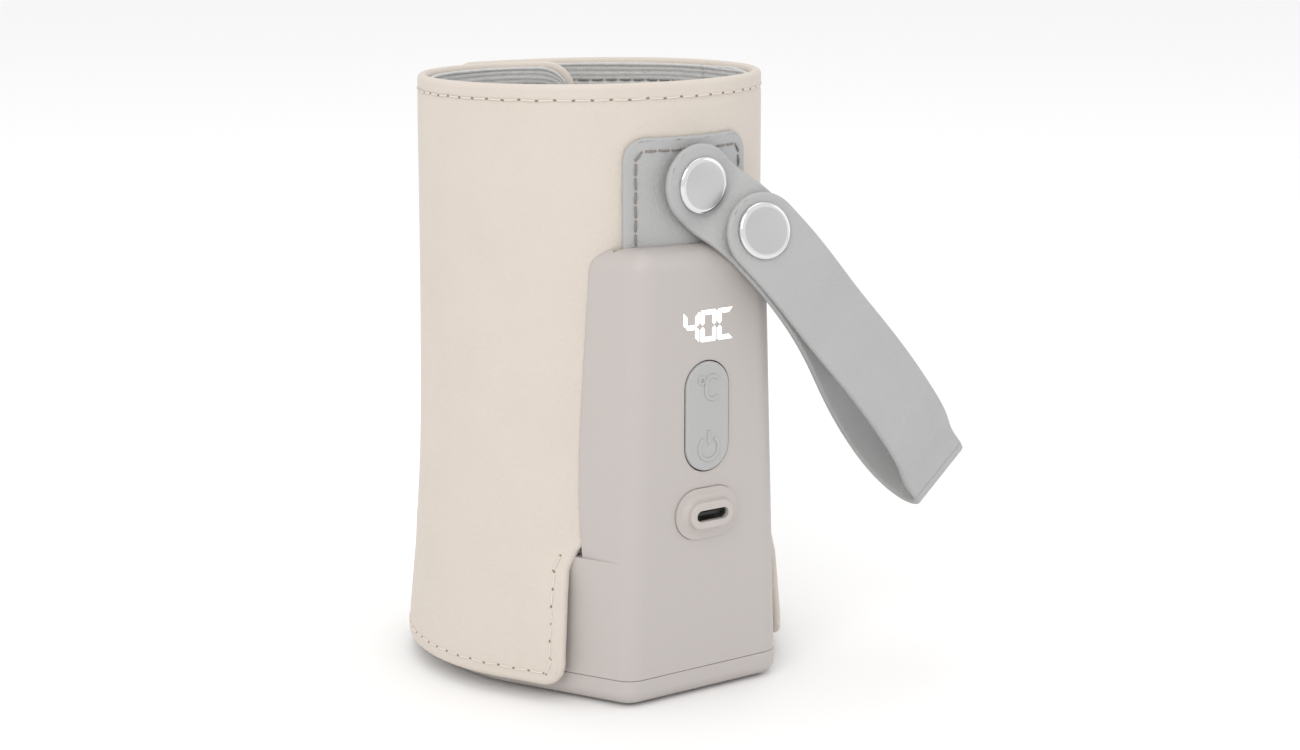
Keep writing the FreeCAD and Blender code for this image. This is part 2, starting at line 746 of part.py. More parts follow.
def make_socket_shell():
    z = socket_middle
    front = front_y - collar_proud + 1.2
    outer = pill(slot_width + 0.6, slot_height + 0.6, front, board_front, z)
    inner = pill(slot_width, slot_height, front - 1, board_front - 0.9, z)
    return outer.cut(inner)


def make_socket_tongue():
    z = socket_middle
    front = front_y - collar_proud + 1.9
    return block(-3.3, 3.3, front, board_front - 0.9, z - 0.35, z + 0.35)


def make_flex_cable():
    low = power_board_bottom + power_board_thickness
    rear_y = power_board_front + 3
    spots = [Vector(0, rear_y, low), Vector(0, rear_y, low + 2.2), Vector(0, board_back + 0.4, low + 2.2),
             Vector(0, board_back + 0.4, board_low + 1.4), Vector(0, board_back, board_low + 1.4)]
    thickness = 0.3
    cable = block(-4, 4, rear_y, rear_y + thickness, low, low + 2.2 + thickness)
    cable = cable.fuse(block(-4, 4, spots[2].y - thickness, rear_y + thickness,
                             low + 2.2, low + 2.2 + thickness))
    cable = cable.fuse(block(-4, 4, spots[2].y - thickness, spots[2].y, low + 2.2, board_low + 1.4))
    cable = cable.fuse(block(-4, 4, board_back, spots[2].y, board_low + 0.6, board_low + 1.4))
    return cable.removeSplitter()


window_half = 24.0
window_low = base_height + 2.6
window_high = pod_top - 2.6
cover_inner_depth = wrap_thickness - lining_thickness - 0.05
cover_outer_depth = 1.5
back_screw_head = 0.6


def make_back_cover():
    cover = wrap_layer(cover_outer_depth, cover_inner_depth, -window_half + 0.5, window_half - 0.5,
                       window_low + 0.3, window_high - 0.3)
    pad_layer = wrap_layer(0.4, cover_inner_depth - 0.1, -window_half + 0.5, window_half - 0.5,
                           window_low, window_high)
    for x, z in back_screw_spots:
        for side in (-1, 1):
            cover = cover.fuse(peg(2.6, boss_end_y, boss_end_y + 3, side * x, z).common(pad_layer))
            cover = cover.cut(peg(screw_hole_radius, front_y, 0, side * x, z))
            cover = cover.cut(peg(1.9, boss_end_y + 0.25, 0, side * x, z))
            cover = cover.cut(peg(2.1, front_y, boss_end_y + 0.02, side * x, z))
    cable_notch = block(-4.6, 4.6, front_y, 0, window_low - 1, board_low + 3.6)
    return cover.cut(cable_notch).removeSplitter()


def make_back_cover_screws():
    screws = []
    for x, z in back_screw_spots:
        for side in (-1, 1):
            spot = Vector(side * x, boss_end_y + 0.25 + back_screw_head, z)
            screws.append(screw(spot, Vector(0, -1, 0), 5.5, 1.7, back_screw_head, screw_radius - 0.15))
    return group(screws)


save("display_board", make_display_board())
save("display_light_guide", make_light_guide())
save("display_leds", make_display_leds())
save("key_pad", make_key_pad())
save("key_contacts", make_key_contacts())
save("socket_bezel", make_socket_bezel())
save("socket_shell", make_socket_shell())
save("socket_tongue", make_socket_tongue())
save("flex_cable", make_flex_cable())
save("pod_back_cover", make_back_cover())
save("back_cover_screws", make_back_cover_screws())

# ---------------------------------------------------------------- the wrap
hinge_radius = flap_radius - wrap_thickness / 2
hinge_gap_angle = math.degrees((wrap_thickness / 2 + flap_clearance + 0.15) / hinge_radius)
opening_half = 42.0          # the skirt leaves the base's front free this far to each side
skirt_loose_low = 2.2        # room between skirt and base at the bottom edge
skirt_loose_high = 0.8       # and at the top of the base
glue_line = 0.03             # between two layers of the wrap


def hinge_point(angle):
    return outward(angle) * hinge_radius


def skirt_solid(z_low, z_high, depth):
    """Everything inside the skirt's face that lies a depth below its outside."""
    reaches = []
    for z in (z_low, z_high):
        share = (z - skirt_bottom) / (skirt_top - skirt_bottom)
        loose = skirt_loose_low + (skirt_loose_high - skirt_loose_low) * share
        reaches.append(loose + skirt_thickness - depth)
    return base_solid(z_low, z_high, reaches[0], reaches[1])


def skirt_layer(outer_depth, inner_depth):
    """A layer of the leather skirt that hangs round the base."""
    outer = skirt_solid(skirt_bottom, skirt_top, outer_depth)
    inner = skirt_solid(skirt_bottom - 1, skirt_top + 1, inner_depth)
    front = ring_sector(centre_line, within - 6, beyond, -opening_half, opening_half,
                        skirt_bottom - 1, skirt_top + 1)
    return outer.cut(inner).cut(front)


def upper_layer(outer_depth, inner_depth, low, window):
    """A layer of the fixed front of the wrap, from one flap's hinge to the other's."""
    layer = wrap_layer(outer_depth, inner_depth, inner_hinge_angle, closing_hinge_angle, low, rim_height + 1)
    for angle, side in ((inner_hinge_angle, -1), (closing_hinge_angle, 1)):
        hinge_room = ring_sector(centre_line, within, beyond, angle - side * hinge_gap_angle, angle + side * 6,
                                 skirt_top, rim_height + 5)
        layer = layer.cut(hinge_room)
    if window:
        layer = layer.cut(pod_window())
    return layer.cut(rim_cut)


def pod_window():
    return ring_sector(centre_line, within, beyond, -window_half, window_half, window_low, window_high)


def below_window():
    return ring_sector(centre_line, within, beyond, -window_half, window_half, skirt_top - 1, window_low)


def make_wrap_leather():
    upper = upper_layer(0, hide_thickness, skirt_top - 0.5, True)
    return upper.cut(below_window()).fuse(skirt_layer(0, hide_thickness)).removeSplitter()


def make_wrap_foam():
    near = hide_thickness + glue_line
    deep = hide_thickness + foam_thickness
    upper = upper_layer(near, deep, skirt_top, True)
    return upper.cut(below_window()).fuse(skirt_layer(near, deep)).removeSplitter()


def make_heating_film():
    deep = hide_thickness + foam_thickness + glue_line
    film = wrap_layer(deep, deep + film_thickness - 2 * glue_line, inner_hinge_angle + 12, closing_hinge_angle - 12,
                      window_low + 4, rim_height - 12)
    return film.cut(pod_window()).cut(rim_cut)


def make_wrap_lining():
    deep = wrap_thickness - lining_thickness
    return upper_layer(deep, wrap_thickness, seat_flange_top + 0.4, False)


def make_patch():
    face_radius = wrap_radius + patch_thickness
    half_angle = math.degrees(patch_half_width / face_radius)
    patch = wrap_layer(-patch_thickness - 0.05, -0.05, -half_angle, half_angle, pod_top - 3.0, patch_top)
    corner_low = patch_top - patch_corner
    edge_x = face_radius * math.sin(math.radians(half_angle))
    for side in (-1, 1):
        near = side * (edge_x - patch_corner)
        far = side * (edge_x + 1)
        square = block(min(near, far), max(near, far), -beyond, 0, corner_low, patch_top + 1)
        patch = patch.cut(square.cut(peg(patch_corner, -beyond, 0, near, corner_low)))
    return patch


closing_large_radius = flap_radius + closing_spread
inner_small_radius = flap_radius - inner_curl


def flap_sector(centre, outer, depth_out, depth_in, start, stop, low):
    return ring_sector(centre, outer - depth_in, outer - depth_out, start, stop, low, rim_height + 1)


def closing_centre():
    return outward(closing_turn_angle) * -closing_spread


def inner_centre():
    return outward(inner_hinge_angle) * inner_curl


def make_closing_flap(depth_out, depth_in, low):
    """A layer of the outer flap, rounded where it turns against the fixed wrap."""
    near = flap_sector(centre_line, flap_radius, depth_out, depth_in,
                       closing_hinge_angle, closing_turn_angle, low)
    far = flap_sector(closing_centre(), closing_large_radius, depth_out, depth_in,
                      closing_turn_angle, closing_end_angle, low)
    flap = near.fuse(far).removeSplitter()
    return round_hinge_end(flap, closing_hinge_angle, 1, depth_out, depth_in, low)


def make_inner_flap(depth_out, depth_in, low):
    flap = flap_sector(inner_centre(), inner_small_radius, depth_out, depth_in,
                       inner_hinge_angle, inner_end_angle, low)
    return round_hinge_end(flap, inner_hinge_angle, -1, depth_out, depth_in, low)


def round_hinge_end(flap, angle, side, depth_out, depth_in, low):
    """Adds this layer's share of the half round end about the hinge."""
    spot = hinge_point(angle)
    knuckle = disc(wrap_thickness / 2, low, rim_height + 1, spot.x, spot.y)
    band = ring_sector(centre_line, flap_radius - depth_in, flap_radius - depth_out,
                       angle - side * 6, angle + side * 0.5, low, rim_height + 1)
    return flap.fuse(knuckle.common(band)).removeSplitter().cut(rim_cut)


strip_thickness = 0.9
strip_low = flap_bottom + 12.4
strip_high = rim_height - 13.3


def make_hook_strip():
    return ring_sector(inner_centre(), inner_small_radius, inner_small_radius + strip_thickness,
                       -188, -222, strip_low, strip_high)


def make_loop_strip():
    inside = closing_large_radius - wrap_thickness
    return ring_sector(closing_centre(), inside - strip_thickness, inside, 164, 187,
                       strip_low - 1, strip_high + 1)


save("wrap_leather", make_wrap_leather())
save("wrap_foam", make_wrap_foam())
save("heating_film", make_heating_film())
save("wrap_lining", make_wrap_lining())
save("leather_patch", make_patch())
save("closing_flap_leather", make_closing_flap(0, hide_thickness, flap_bottom))
save("closing_flap_lining", make_closing_flap(hide_thickness, wrap_thickness, flap_bottom))
save("inner_flap_leather", make_inner_flap(0, hide_thickness, flap_bottom))
save("inner_flap_lining", make_inner_flap(hide_thickness, wrap_thickness, flap_bottom))
save("hook_strip", make_hook_strip())
save("loop_strip", make_loop_strip())

# ---------------------------------------------------------------- strap and snap fasteners
along = Vector(math.cos(math.radians(strap_angle)), 0, -math.sin(math.radians(strap_angle)))
across = Vector(-math.sin(math.radians(strap_angle)), 0, -math.cos(math.radians(strap_angle)))
snap_tilt = 14.5             # degrees that the lower snap leans outwards along the strap
lower_snap_reach = 16.6      # from the upper snap's centre to the lower one's
lower_snap_angle = 41.5      # degrees below level from the upper snap to the lower one
strap_gap = 1.1              # between the two strands at the lower snap
stud_radius = 1.8
stud_clearance = 0.3
stud_flange = 0.25
socket_thickness = 0.55
socket_radius = 5.0
strap_end_radius = strap_width / 2

patch_face = -(wrap_outside(snap_height) + patch_thickness + 0.05)
flat_back_y = patch_face - 1.14      # back of the strap where it lies over the patch
lower_back_y = front_y - 0.3         # back of the strap under the lower snap
fall = math.radians(lower_snap_angle)
tilt = math.radians(snap_tilt)
upper_snap = Vector(0, 0, snap_height)
lower_snap = upper_snap + Vector(math.cos(fall), 0, -math.sin(fall)) * lower_snap_reach
lower_normal = along * (-math.sin(tilt)) + Vector(0, -math.cos(tilt), 0)


def spot_on_strap(reach, y):
    """A point in the strap's middle plane, at a distance below the lower snap."""
    return Vector(lower_snap.x, y, lower_snap.z) + along * reach


# Middle line of the strap: reach along the strap from the lower snap, and depth.
upper_end_reach = (upper_snap - lower_snap).dot(along)
first_y = flat_back_y - strap_thickness / 2
under_y = lower_back_y - strap_thickness / 2 / math.cos(tilt)
over_y = under_y - (strap_thickness + strap_gap) / math.cos(tilt)
slope = math.tan(tilt)
back_strand = [(upper_end_reach - strap_end_radius - 1, first_y), (upper_end_reach, first_y),
               (upper_end_reach + 6.4, first_y),
               (-6.6, under_y + 6.6 * slope), (0, under_y), (7, under_y - 7 * slope), (14, under_y - 2.6),
               (22, under_y - 2.3), (32, under_y - 0.3), (42, under_y + 3.0), (53, under_y + 6.4),
               (64, under_y + 8.4), (73, under_y + 8.5)]
fold = [(79.2, under_y + 6.4), (82.6, under_y + 1.7), (81.4, under_y - 2.6)]
front_strand = [(77.0, over_y - 0.3), (69, over_y - 2.9), (59, over_y - 4.9), (46, over_y - 5.4),
                (35, over_y - 4.5), (26, over_y - 3.4), (17, over_y - 2.9), (7, over_y - 7 * slope),
                (0, over_y), (-strap_end_radius - 2, over_y + (strap_end_radius + 2) * slope)]


def strap_line():
    curve = Part.BSplineCurve()
    curve.interpolate([spot_on_strap(reach, y) for reach, y in back_strand + fold + front_strand])
    return curve


strap_curve = strap_line()
strap_hinge_parameter = strap_curve.parameter(spot_on_strap(*front_strand[0]))
strap_hinge = strap_curve.value(strap_hinge_parameter)


def ribbon(first, last, thickness):
    """A band that follows the strap's middle line between two places on it."""
    count = 60
    sides = ([], [])
    for step in range(count + 1):
        place = first + (last - first) * step / count
        spot = strap_curve.value(place)
        direction = strap_curve.tangent(place)[0]
        normal = direction.cross(across).normalize()
        sides[0].append(spot + normal * (thickness / 2))
        sides[1].append(spot - normal * (thickness / 2))
    curves = []
    for side in sides:
        curve = Part.BSplineCurve()
        curve.interpolate(side)
        curves.append(curve.toShape())
    ends = [Part.LineSegment(sides[0][i], sides[1][i]).toShape() for i in (0, -1)]
    face = Part.Face(Part.Wire(Part.__sortEdges__([curves[0], ends[1], curves[1], ends[0]])))
    face.translate(across * (-strap_width))
    return face.extrude(across * (2 * strap_width))


def strap_outline(centre):
    """Plan of one strand seen from the front: round about its snap, straight to the fold."""
    low = Vector(lower_snap.x, 0, lower_snap.z) + along * 100
    shape = peg(strap_end_radius, -80, -20, centre.x, centre.z)
    stops = [centre, lower_snap, low] if centre is upper_snap else [lower_snap, low]
    for start, stop in zip(stops, stops[1:]):
        run = (stop - start).normalize()
        side = Vector(run.z, 0, -run.x) * strap_end_radius
        corners = [start + side, start - side, stop - side, stop + side]
        corners = [Vector(c.x, -80, c.z) for c in corners]
        wire = Part.makePolygon(corners + [corners[0]])
        shape = shape.fuse(Part.Face(wire).extrude(Vector(0, 60, 0)))
    elbow = peg(strap_end_radius, -80, -20, lower_snap.x, lower_snap.z)
    return shape.fuse(elbow).removeSplitter()


def bar_across(radius, spot, half_length):
    return Part.makeCylinder(radius, 2 * half_length, spot - across * half_length, across)


def bore(centre, normal, radius, low, high):
    """A round bar along a fastener's axis; heights run outwards."""
    return Part.makeCylinder(radius, high - low, centre + normal * low, normal)


upper_normal = Vector(0, -1, 0)
upper_back = Vector(upper_snap.x, flat_back_y, upper_snap.z)
lower_back = Vector(lower_snap.x, lower_back_y, lower_snap.z)
front_back_height = strap_thickness + strap_gap
rivet_radius = 2.6
pin_radius = 1.2


def make_strap_loop():
    # The room about the knuckle is wide enough for the free end to stand square to the loop.
    knuckle_room = strap_thickness * math.sqrt(0.5) + 2 * flap_clearance
    band = ribbon(strap_curve.FirstParameter, strap_hinge_parameter, strap_thickness)
    band = band.cut(bar_across(knuckle_room, strap_hinge, strap_width))
    band = band.common(strap_outline(upper_snap))
    for back, normal in ((upper_back, upper_normal), (lower_back, lower_normal)):
        band = band.cut(bore(back, normal, snap_diameter / 2, strap_thickness, strap_thickness + 2))
        band = band.cut(bore(back, normal, socket_radius + 0.1, -3, 0))
    band = band.cut(bore(upper_back, upper_normal, rivet_radius + 0.1, -3, 6))
    return band.cut(bore(lower_back, lower_normal, pin_radius, -2.2, 2.2)).removeSplitter()


def make_strap_tail():
    band = ribbon(strap_hinge_parameter, strap_curve.LastParameter, strap_thickness)
    band = band.fuse(bar_across(strap_thickness / 2, strap_hinge, strap_width))
    band = band.common(strap_outline(lower_snap))
    outside = front_back_height + strap_thickness
    band = band.cut(bore(lower_back, lower_normal, snap_diameter / 2, outside, outside + 2))
    behind = front_back_height - 2
    band = band.cut(bore(lower_back, lower_normal, socket_radius + 0.1, behind, front_back_height))
    band = band.cut(bore(lower_back, lower_normal, rivet_radius + 0.1, behind, 8))
    return band.removeSplitter()


def snap_cap(back, normal, start):
    """Polished cap on the strap's outer face, with its rivet through the strap."""
    cap_low = start + strap_thickness
    cap = bore(back, normal, snap_diameter / 2, cap_low, cap_low + snap_cap_height)
    top = back + normal * (cap_low + snap_cap_height)
    rims = [e for e in cap.Edges if abs((e.CenterOfMass - top).dot(normal)) < 0.01 and e.Length > 10]
    cap = cap.makeFillet(0.35, rims)
    rivet = bore(back, normal, rivet_radius, start, start + strap_thickness + 0.3)
    return cap.fuse(rivet).cut(bore(back, normal, stud_radius + stud_clearance, start - 1, start + 1.1))


def snap_socket(back, normal, start):
    """Ring behind the strap that clips over the stud."""
    ring = bore(back, normal, socket_radius, start - socket_thickness, start)
    return ring.cut(bore(back, normal, stud_radius + stud_clearance, start - 2, start + 1))


def snap_stud(back, normal, start, base_low, base_high):
    base = bore(back, normal, 4.5, base_low, base_high)
    return base.fuse(bore(back, normal, stud_radius, base_low, start + 0.8))


def make_upper_stud():
    """Flange seated in the patch, stud through to the strap's upper socket."""
    ring_back = -socket_thickness - 0.2
    stud = snap_stud(upper_back, upper_normal, 0, flat_back_y - patch_face - 0.4, ring_back)
    return stud.cut(make_patch())


def make_lower_stud():
    """Flange on the inner strand's front, held by a pin through it."""
    flange_top = strap_thickness + stud_flange
    stud = snap_stud(lower_back, lower_normal, front_back_height, strap_thickness, flange_top)
    pin = bore(lower_back, lower_normal, pin_radius, -0.3, strap_thickness)
    washer = bore(lower_back, lower_normal, 3.2, -0.35, 0)
    return stud.fuse(pin).fuse(washer)


save("snap_stud_upper", make_upper_stud())
save("snap_socket_upper", snap_socket(upper_back, upper_normal, 0))
save("snap_cap_upper", snap_cap(upper_back, upper_normal, 0))
save("snap_stud_lower", make_lower_stud())
save("snap_socket_lower", snap_socket(lower_back, lower_normal, front_back_height))
save("snap_cap_lower", snap_cap(lower_back, lower_normal, front_back_height))
save("strap_loop", make_strap_loop())
save("strap_tail", make_strap_tail())
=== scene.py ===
# %% [markdown]
# # A cordless bottle warmer in leather, moulded plastic and metal
#
# A feeding bottle stands in a soft wrap that warms it.  The wrap is three things glued together:
# a leather outside, a heating film and a ribbed knit lining.  It stands on a round plastic base
# that holds two cells, and a slim housing on the front carries the display, the key pad and the
# charging socket.  A strap with two snap fasteners hangs from a leather patch.
#
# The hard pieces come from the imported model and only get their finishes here.  The soft pieces
# are built here, because leather has round edges, stitches and a slight waviness that the plain
# solids of the model leave out.  Everything is in metres, in the model's own frame: the floor is
# z = 0, the bottle's axis is the z axis and the front looks towards -Y.

# %% Load the model
import json
import math
import bpy
import numpy as np
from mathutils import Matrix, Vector
from mathutils.kdtree import KDTree


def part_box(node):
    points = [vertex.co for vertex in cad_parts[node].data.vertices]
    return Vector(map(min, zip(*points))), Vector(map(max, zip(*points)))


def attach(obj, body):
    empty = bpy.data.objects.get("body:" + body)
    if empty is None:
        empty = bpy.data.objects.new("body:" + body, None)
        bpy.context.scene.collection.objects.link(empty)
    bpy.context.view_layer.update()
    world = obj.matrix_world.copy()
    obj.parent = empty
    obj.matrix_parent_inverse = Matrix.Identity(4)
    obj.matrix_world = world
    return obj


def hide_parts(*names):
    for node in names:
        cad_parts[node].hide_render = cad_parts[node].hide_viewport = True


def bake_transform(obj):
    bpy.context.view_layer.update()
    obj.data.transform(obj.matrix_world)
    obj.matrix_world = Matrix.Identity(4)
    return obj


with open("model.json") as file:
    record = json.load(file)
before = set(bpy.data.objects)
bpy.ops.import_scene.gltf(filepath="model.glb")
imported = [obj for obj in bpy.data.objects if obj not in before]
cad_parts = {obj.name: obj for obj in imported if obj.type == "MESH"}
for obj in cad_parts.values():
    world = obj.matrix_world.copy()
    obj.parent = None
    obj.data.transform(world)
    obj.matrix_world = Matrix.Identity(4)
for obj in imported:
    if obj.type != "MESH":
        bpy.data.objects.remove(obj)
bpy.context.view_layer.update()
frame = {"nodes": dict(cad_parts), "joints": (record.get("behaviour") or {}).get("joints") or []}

MM = 0.001
joints = {joint["name"]: joint for joint in frame["joints"]}

# %% [markdown]
# ## Camera
# A product picture like this is taken from a little above the object with a long lens, so that
# upright edges stay nearly parallel.  Seventy millimetres on a full frame does that from about
# sixty centimetres away.

# %% Camera
camera_data = bpy.data.cameras.new("camera")
camera_data.lens = 69.66
camera_data.sensor_width = 36.0
camera_data.shift_x = 0.01827
camera = bpy.data.objects.new("camera", camera_data)
bpy.context.scene.collection.objects.link(camera)
camera.location = Vector((-322.3, -476.0, 193.4)) * MM
camera.rotation_mode = "QUATERNION"
camera.rotation_quaternion = Vector((0.5590, 0.8001, -0.2179)).to_track_quat("-Z", "Y")
camera_data.clip_start, camera_data.clip_end = 0.01, 20.0
bpy.context.scene.camera = camera
print("camera", [round(x, 3) for x in camera.location])

# %% [markdown]
# ## Finishes
# Every finish is a small network round one Principled shader.  Colours are written as they look
# on a screen and turned into linear light once.  Patterns are set by their real size: a grain of
# 0.9 mm needs a texture scale of 1000 / 0.9 per metre.


# %% Helpers for finishes
def linear(code):
    """A screen colour such as #e6ddd4 as linear light."""
    parts = [int(code[i:i + 2], 16) / 255 for i in (1, 3, 5)]
    return tuple(c / 12.92 if c <= 0.04045 else ((c + 0.055) / 1.055) ** 2.4 for c in parts) + (1.0,)


def add(tree, kind, values=None, **settings):
    """A node with its settings and input values; a value that is a socket is linked."""
    node = tree.nodes.new(kind)
    for name, value in settings.items():
        setattr(node, name, value)
    for name, value in (values or {}).items():
        socket = node.inputs[name]
        if isinstance(value, bpy.types.NodeSocket):
            tree.links.new(value, socket)
        else:
            socket.default_value = value
    return node


def finish_of(name, colour, roughness, ior=1.5, metallic=0.0):
    """A material with its shader, ready for patterns."""
    material = bpy.data.materials.new(name)
    material.use_nodes = True
    tree = material.node_tree
    shader = tree.nodes["Principled BSDF"]
    shader.inputs["Base Color"].default_value = linear(colour)
    shader.inputs["Roughness"].default_value = roughness
    shader.inputs["IOR"].default_value = ior
    shader.inputs["Metallic"].default_value = metallic
    return material, tree, shader


def place(tree, stretch=(1, 1, 1)):
    """Positions in the model's frame, so that a pattern has the same size everywhere."""
    where = add(tree, "ShaderNodeTexCoord").outputs["Object"]
    return add(tree, "ShaderNodeMapping", {"Vector": where, "Scale": stretch}).outputs["Vector"]


def vary_colour(tree, shader, low, high, size_mm, where, detail=3.0):
    """Slow change between two shades, as dye and light wear give."""
    noise = add(tree, "ShaderNodeTexNoise", {"Vector": where, "Scale": 1000 / size_mm, "Detail": detail})
    ramp = add(tree, "ShaderNodeMix", {"Factor": noise.outputs["Fac"]}, data_type="RGBA")
    ramp.inputs["A"].default_value = linear(low)
    ramp.inputs["B"].default_value = linear(high)
    tree.links.new(ramp.outputs["Result"], shader.inputs["Base Color"])
    return ramp


def bump(tree, shader, heights, depth_mm, strength=1.0):
    """Fine relief that is too small to model."""
    node = add(tree, "ShaderNodeBump", {"Height": heights, "Strength": strength, "Distance": depth_mm * MM})
    tree.links.new(node.outputs["Normal"], shader.inputs["Normal"])
    return node


print("helpers ready")

# %% [markdown]
# Leather is a dyed skin with a thin matt lacquer.  Its grain is a net of shallow creases between
# small pebbles.  A Voronoi pattern gives the pebbles and a little noise breaks them up.  The cream
# hide is a fine, nearly smooth grain; the grey strap leather is pressed with a coarser pebble.


# %% Leather
def leather(name, low, high, grain_mm, depth_mm, roughness):
    material, tree, shader = finish_of(name, low, roughness, ior=1.48)
    where = place(tree)
    vary_colour(tree, shader, low, high, 14.0, where)
    warp = add(tree, "ShaderNodeTexNoise", {"Vector": where, "Scale": 1000 / (2.5 * grain_mm), "Detail": 2.0})
    bent = add(tree, "ShaderNodeVectorMath", {0: warp.outputs["Color"], "Scale": 1.1 * grain_mm * MM},
               operation="SCALE")
    moved = add(tree, "ShaderNodeVectorMath", {0: where, 1: bent.outputs["Vector"]}, operation="ADD")
    cells = add(tree, "ShaderNodeTexVoronoi", {"Vector": moved.outputs["Vector"], "Scale": 1000 / grain_mm},
                feature="SMOOTH_F1")
    fine_mm = 0.35 * grain_mm
    fine = add(tree, "ShaderNodeTexNoise", {"Vector": where, "Scale": 1000 / fine_mm, "Detail": 3.0})
    pebble = add(tree, "ShaderNodeMath", {0: cells.outputs["Distance"], 1: -1.0}, operation="MULTIPLY")
    both = add(tree, "ShaderNodeMath", {0: fine.outputs["Fac"], 1: 0.35, 2: pebble.outputs["Value"]},
               operation="MULTIPLY_ADD")
    bump(tree, shader, both.outputs["Value"], depth_mm)
    rough = add(tree, "ShaderNodeMapRange", {"Value": cells.outputs["Distance"], "To Min": roughness - 0.05,
                                             "To Max": roughness + 0.08})
    tree.links.new(rough.outputs["Result"], shader.inputs["Roughness"])
    return material


cream_leather = leather("cream_split_leather_lacquered", "#c8bfb5", "#cec5bc", 0.9, 0.10, 0.55)
grey_leather = leather("grey_pebbled_strap_leather", "#a4a5a5", "#adaeae", 0.75, 0.11, 0.50)
print("leathers ready")

# %% [markdown]
# The hard plastic is ABS with a very fine spark-eroded texture.  The keys, the foot and the seat
# pad are silicone, which is softer looking because light goes a little way into it.  The thread is
# waxed polyester.  The holes that the needle leaves are dark because no light gets in.


# %% Plastics, silicone, thread
def moulded(name, colour, roughness, texture_mm=0.28, depth_mm=0.012, ior=1.53):
    material, tree, shader = finish_of(name, colour, roughness, ior)
    where = place(tree)
    noise = add(tree, "ShaderNodeTexNoise", {"Vector": where, "Scale": 1000 / texture_mm, "Detail": 3.0})
    bump(tree, shader, noise.outputs["Fac"], depth_mm)
    slow = add(tree, "ShaderNodeTexNoise", {"Vector": where, "Scale": 1000 / 25.0, "Detail": 2.0})
    rough = add(tree, "ShaderNodeMapRange", {"Value": slow.outputs["Fac"], "To Min": roughness - 0.04,
                                             "To Max": roughness + 0.04})
    tree.links.new(rough.outputs["Result"], shader.inputs["Roughness"])
    return material, shader


def plain(name, colour, roughness):
    """A hidden piece's finish, of one colour."""
    return finish_of(name, colour, roughness)[0]


housing_abs = moulded("warm_grey_abs_fine_texture", "#b5afac", 0.46)[0]
bezel_abs = moulded("socket_bezel_abs", "#b8b1ad", 0.42)[0]
inner_abs = moulded("inner_abs_plain", "#a8a5a2", 0.55)[0]
silicone, silicone_shader = moulded("grey_silicone_matt", "#adadad", 0.52, 0.2, 0.008, 1.43)
silicone_shader.inputs["Subsurface Weight"].default_value = 0.15
silicone_shader.inputs["Subsurface Radius"].default_value = (0.002, 0.002, 0.002)
silicone_shader.inputs["Subsurface Scale"].default_value = 0.5
black_plastic = moulded("black_connector_plastic", "#141415", 0.35)[0]
thread = moulded("cream_waxed_polyester_thread", "#d8cfc6", 0.6, 0.15, 0.03)[0]
grey_thread = moulded("grey_waxed_polyester_thread", "#7d7e7f", 0.6, 0.15, 0.03)[0]
needle_hole = plain("needle_hole_in_shadow", "#8d7a69", 0.9)
circuit = plain("green_solder_mask", "#24543a", 0.3)
component = plain("black_moulded_component", "#1b1b1d", 0.5)
polyimide = plain("amber_polyimide_film", "#b5762a", 0.35)
sleeve = plain("blue_heat_shrunk_cell_sleeve", "#3a6ea5", 0.35)
insulation = plain("red_silicone_insulation", "#8c2a24", 0.5)
carbon = plain("carbon_contact_pill", "#222222", 0.8)
hook_tape = moulded("cream_hook_and_loop_tape", "#cfc8c0", 0.9, 0.6, 0.25)[0]
print("plastics, silicone and thread ready")

# %% [markdown]
# Metal: the snap caps are nickel plated brass.  Their flat face is brushed in one direction, which
# stretches highlights across the strokes; their edge is polished.  A Principled shader with full
# metallic, a low roughness and some anisotropy gives both.


# %% Metals
def metal(name, colour, roughness, brushed=0.0):
    material, tree, shader = finish_of(name, colour, roughness, metallic=1.0)
    shader.inputs["Anisotropic"].default_value = brushed
    if brushed:
        where = place(tree, (1.0, 1.0, 0.04))
        lines = add(tree, "ShaderNodeTexNoise", {"Vector": where, "Scale": 1000 / 0.12, "Detail": 4.0})
        bump(tree, shader, lines.outputs["Fac"], 0.012, 0.6)
    return material


polished_nickel = metal("polished_nickel_plate", "#dcdcdc", 0.08)
brushed_nickel = metal("brushed_nickel_plate", "#c3c3c4", 0.30, 0.6)
stainless = metal("brushed_stainless_steel", "#c6c6c6", 0.32, 0.5)
screw_steel = metal("zinc_plated_steel", "#9b9b9b", 0.35)
nickel_strip = metal("pure_nickel_strip", "#b9b7b0", 0.4)

# %% [markdown]
# The figures of the display are milky light guides with lamps behind them, flush with the front.
# An even white glow is what a light guide is made for, so they are plain emission with a soft
# surface on top.

# %% Light guide
light_guide, _, guide_shader = finish_of("milky_light_guide_lit", "#f6f6f4", 0.4)
guide_shader.inputs["Emission Color"].default_value = linear("#ffffff")
guide_shader.inputs["Emission Strength"].default_value = 1.0
led_dome = plain("milky_led_package", "#f0ead0", 0.4)
print("metals and light guide ready")

# %% [markdown]
# The lining is a horizontally ribbed knit.  The ribs are about a millimetre high and are modelled
# further down.  The finish adds the fine stitches of the knit: noise stretched along the ribs.

# %% Knit
knit, knit_tree, knit_shader = finish_of("grey_ribbed_polyester_knit", "#c3c3c2", 0.85)
knit_where = place(knit_tree, (1.0, 1.0, 1.8))
vary_colour(knit_tree, knit_shader, "#b2b2b1", "#d3d3d2", 1.4, knit_where, 4.0)
knit_noise = add(knit_tree, "ShaderNodeTexNoise", {"Vector": knit_where, "Scale": 1000 / 0.45, "Detail": 3.0})
bump(knit_tree, knit_shader, knit_noise.outputs["Fac"], 0.15)
knit_shader.inputs["Sheen Weight"].default_value = 0.25
knit_shader.inputs["Sheen Roughness"].default_value = 0.5

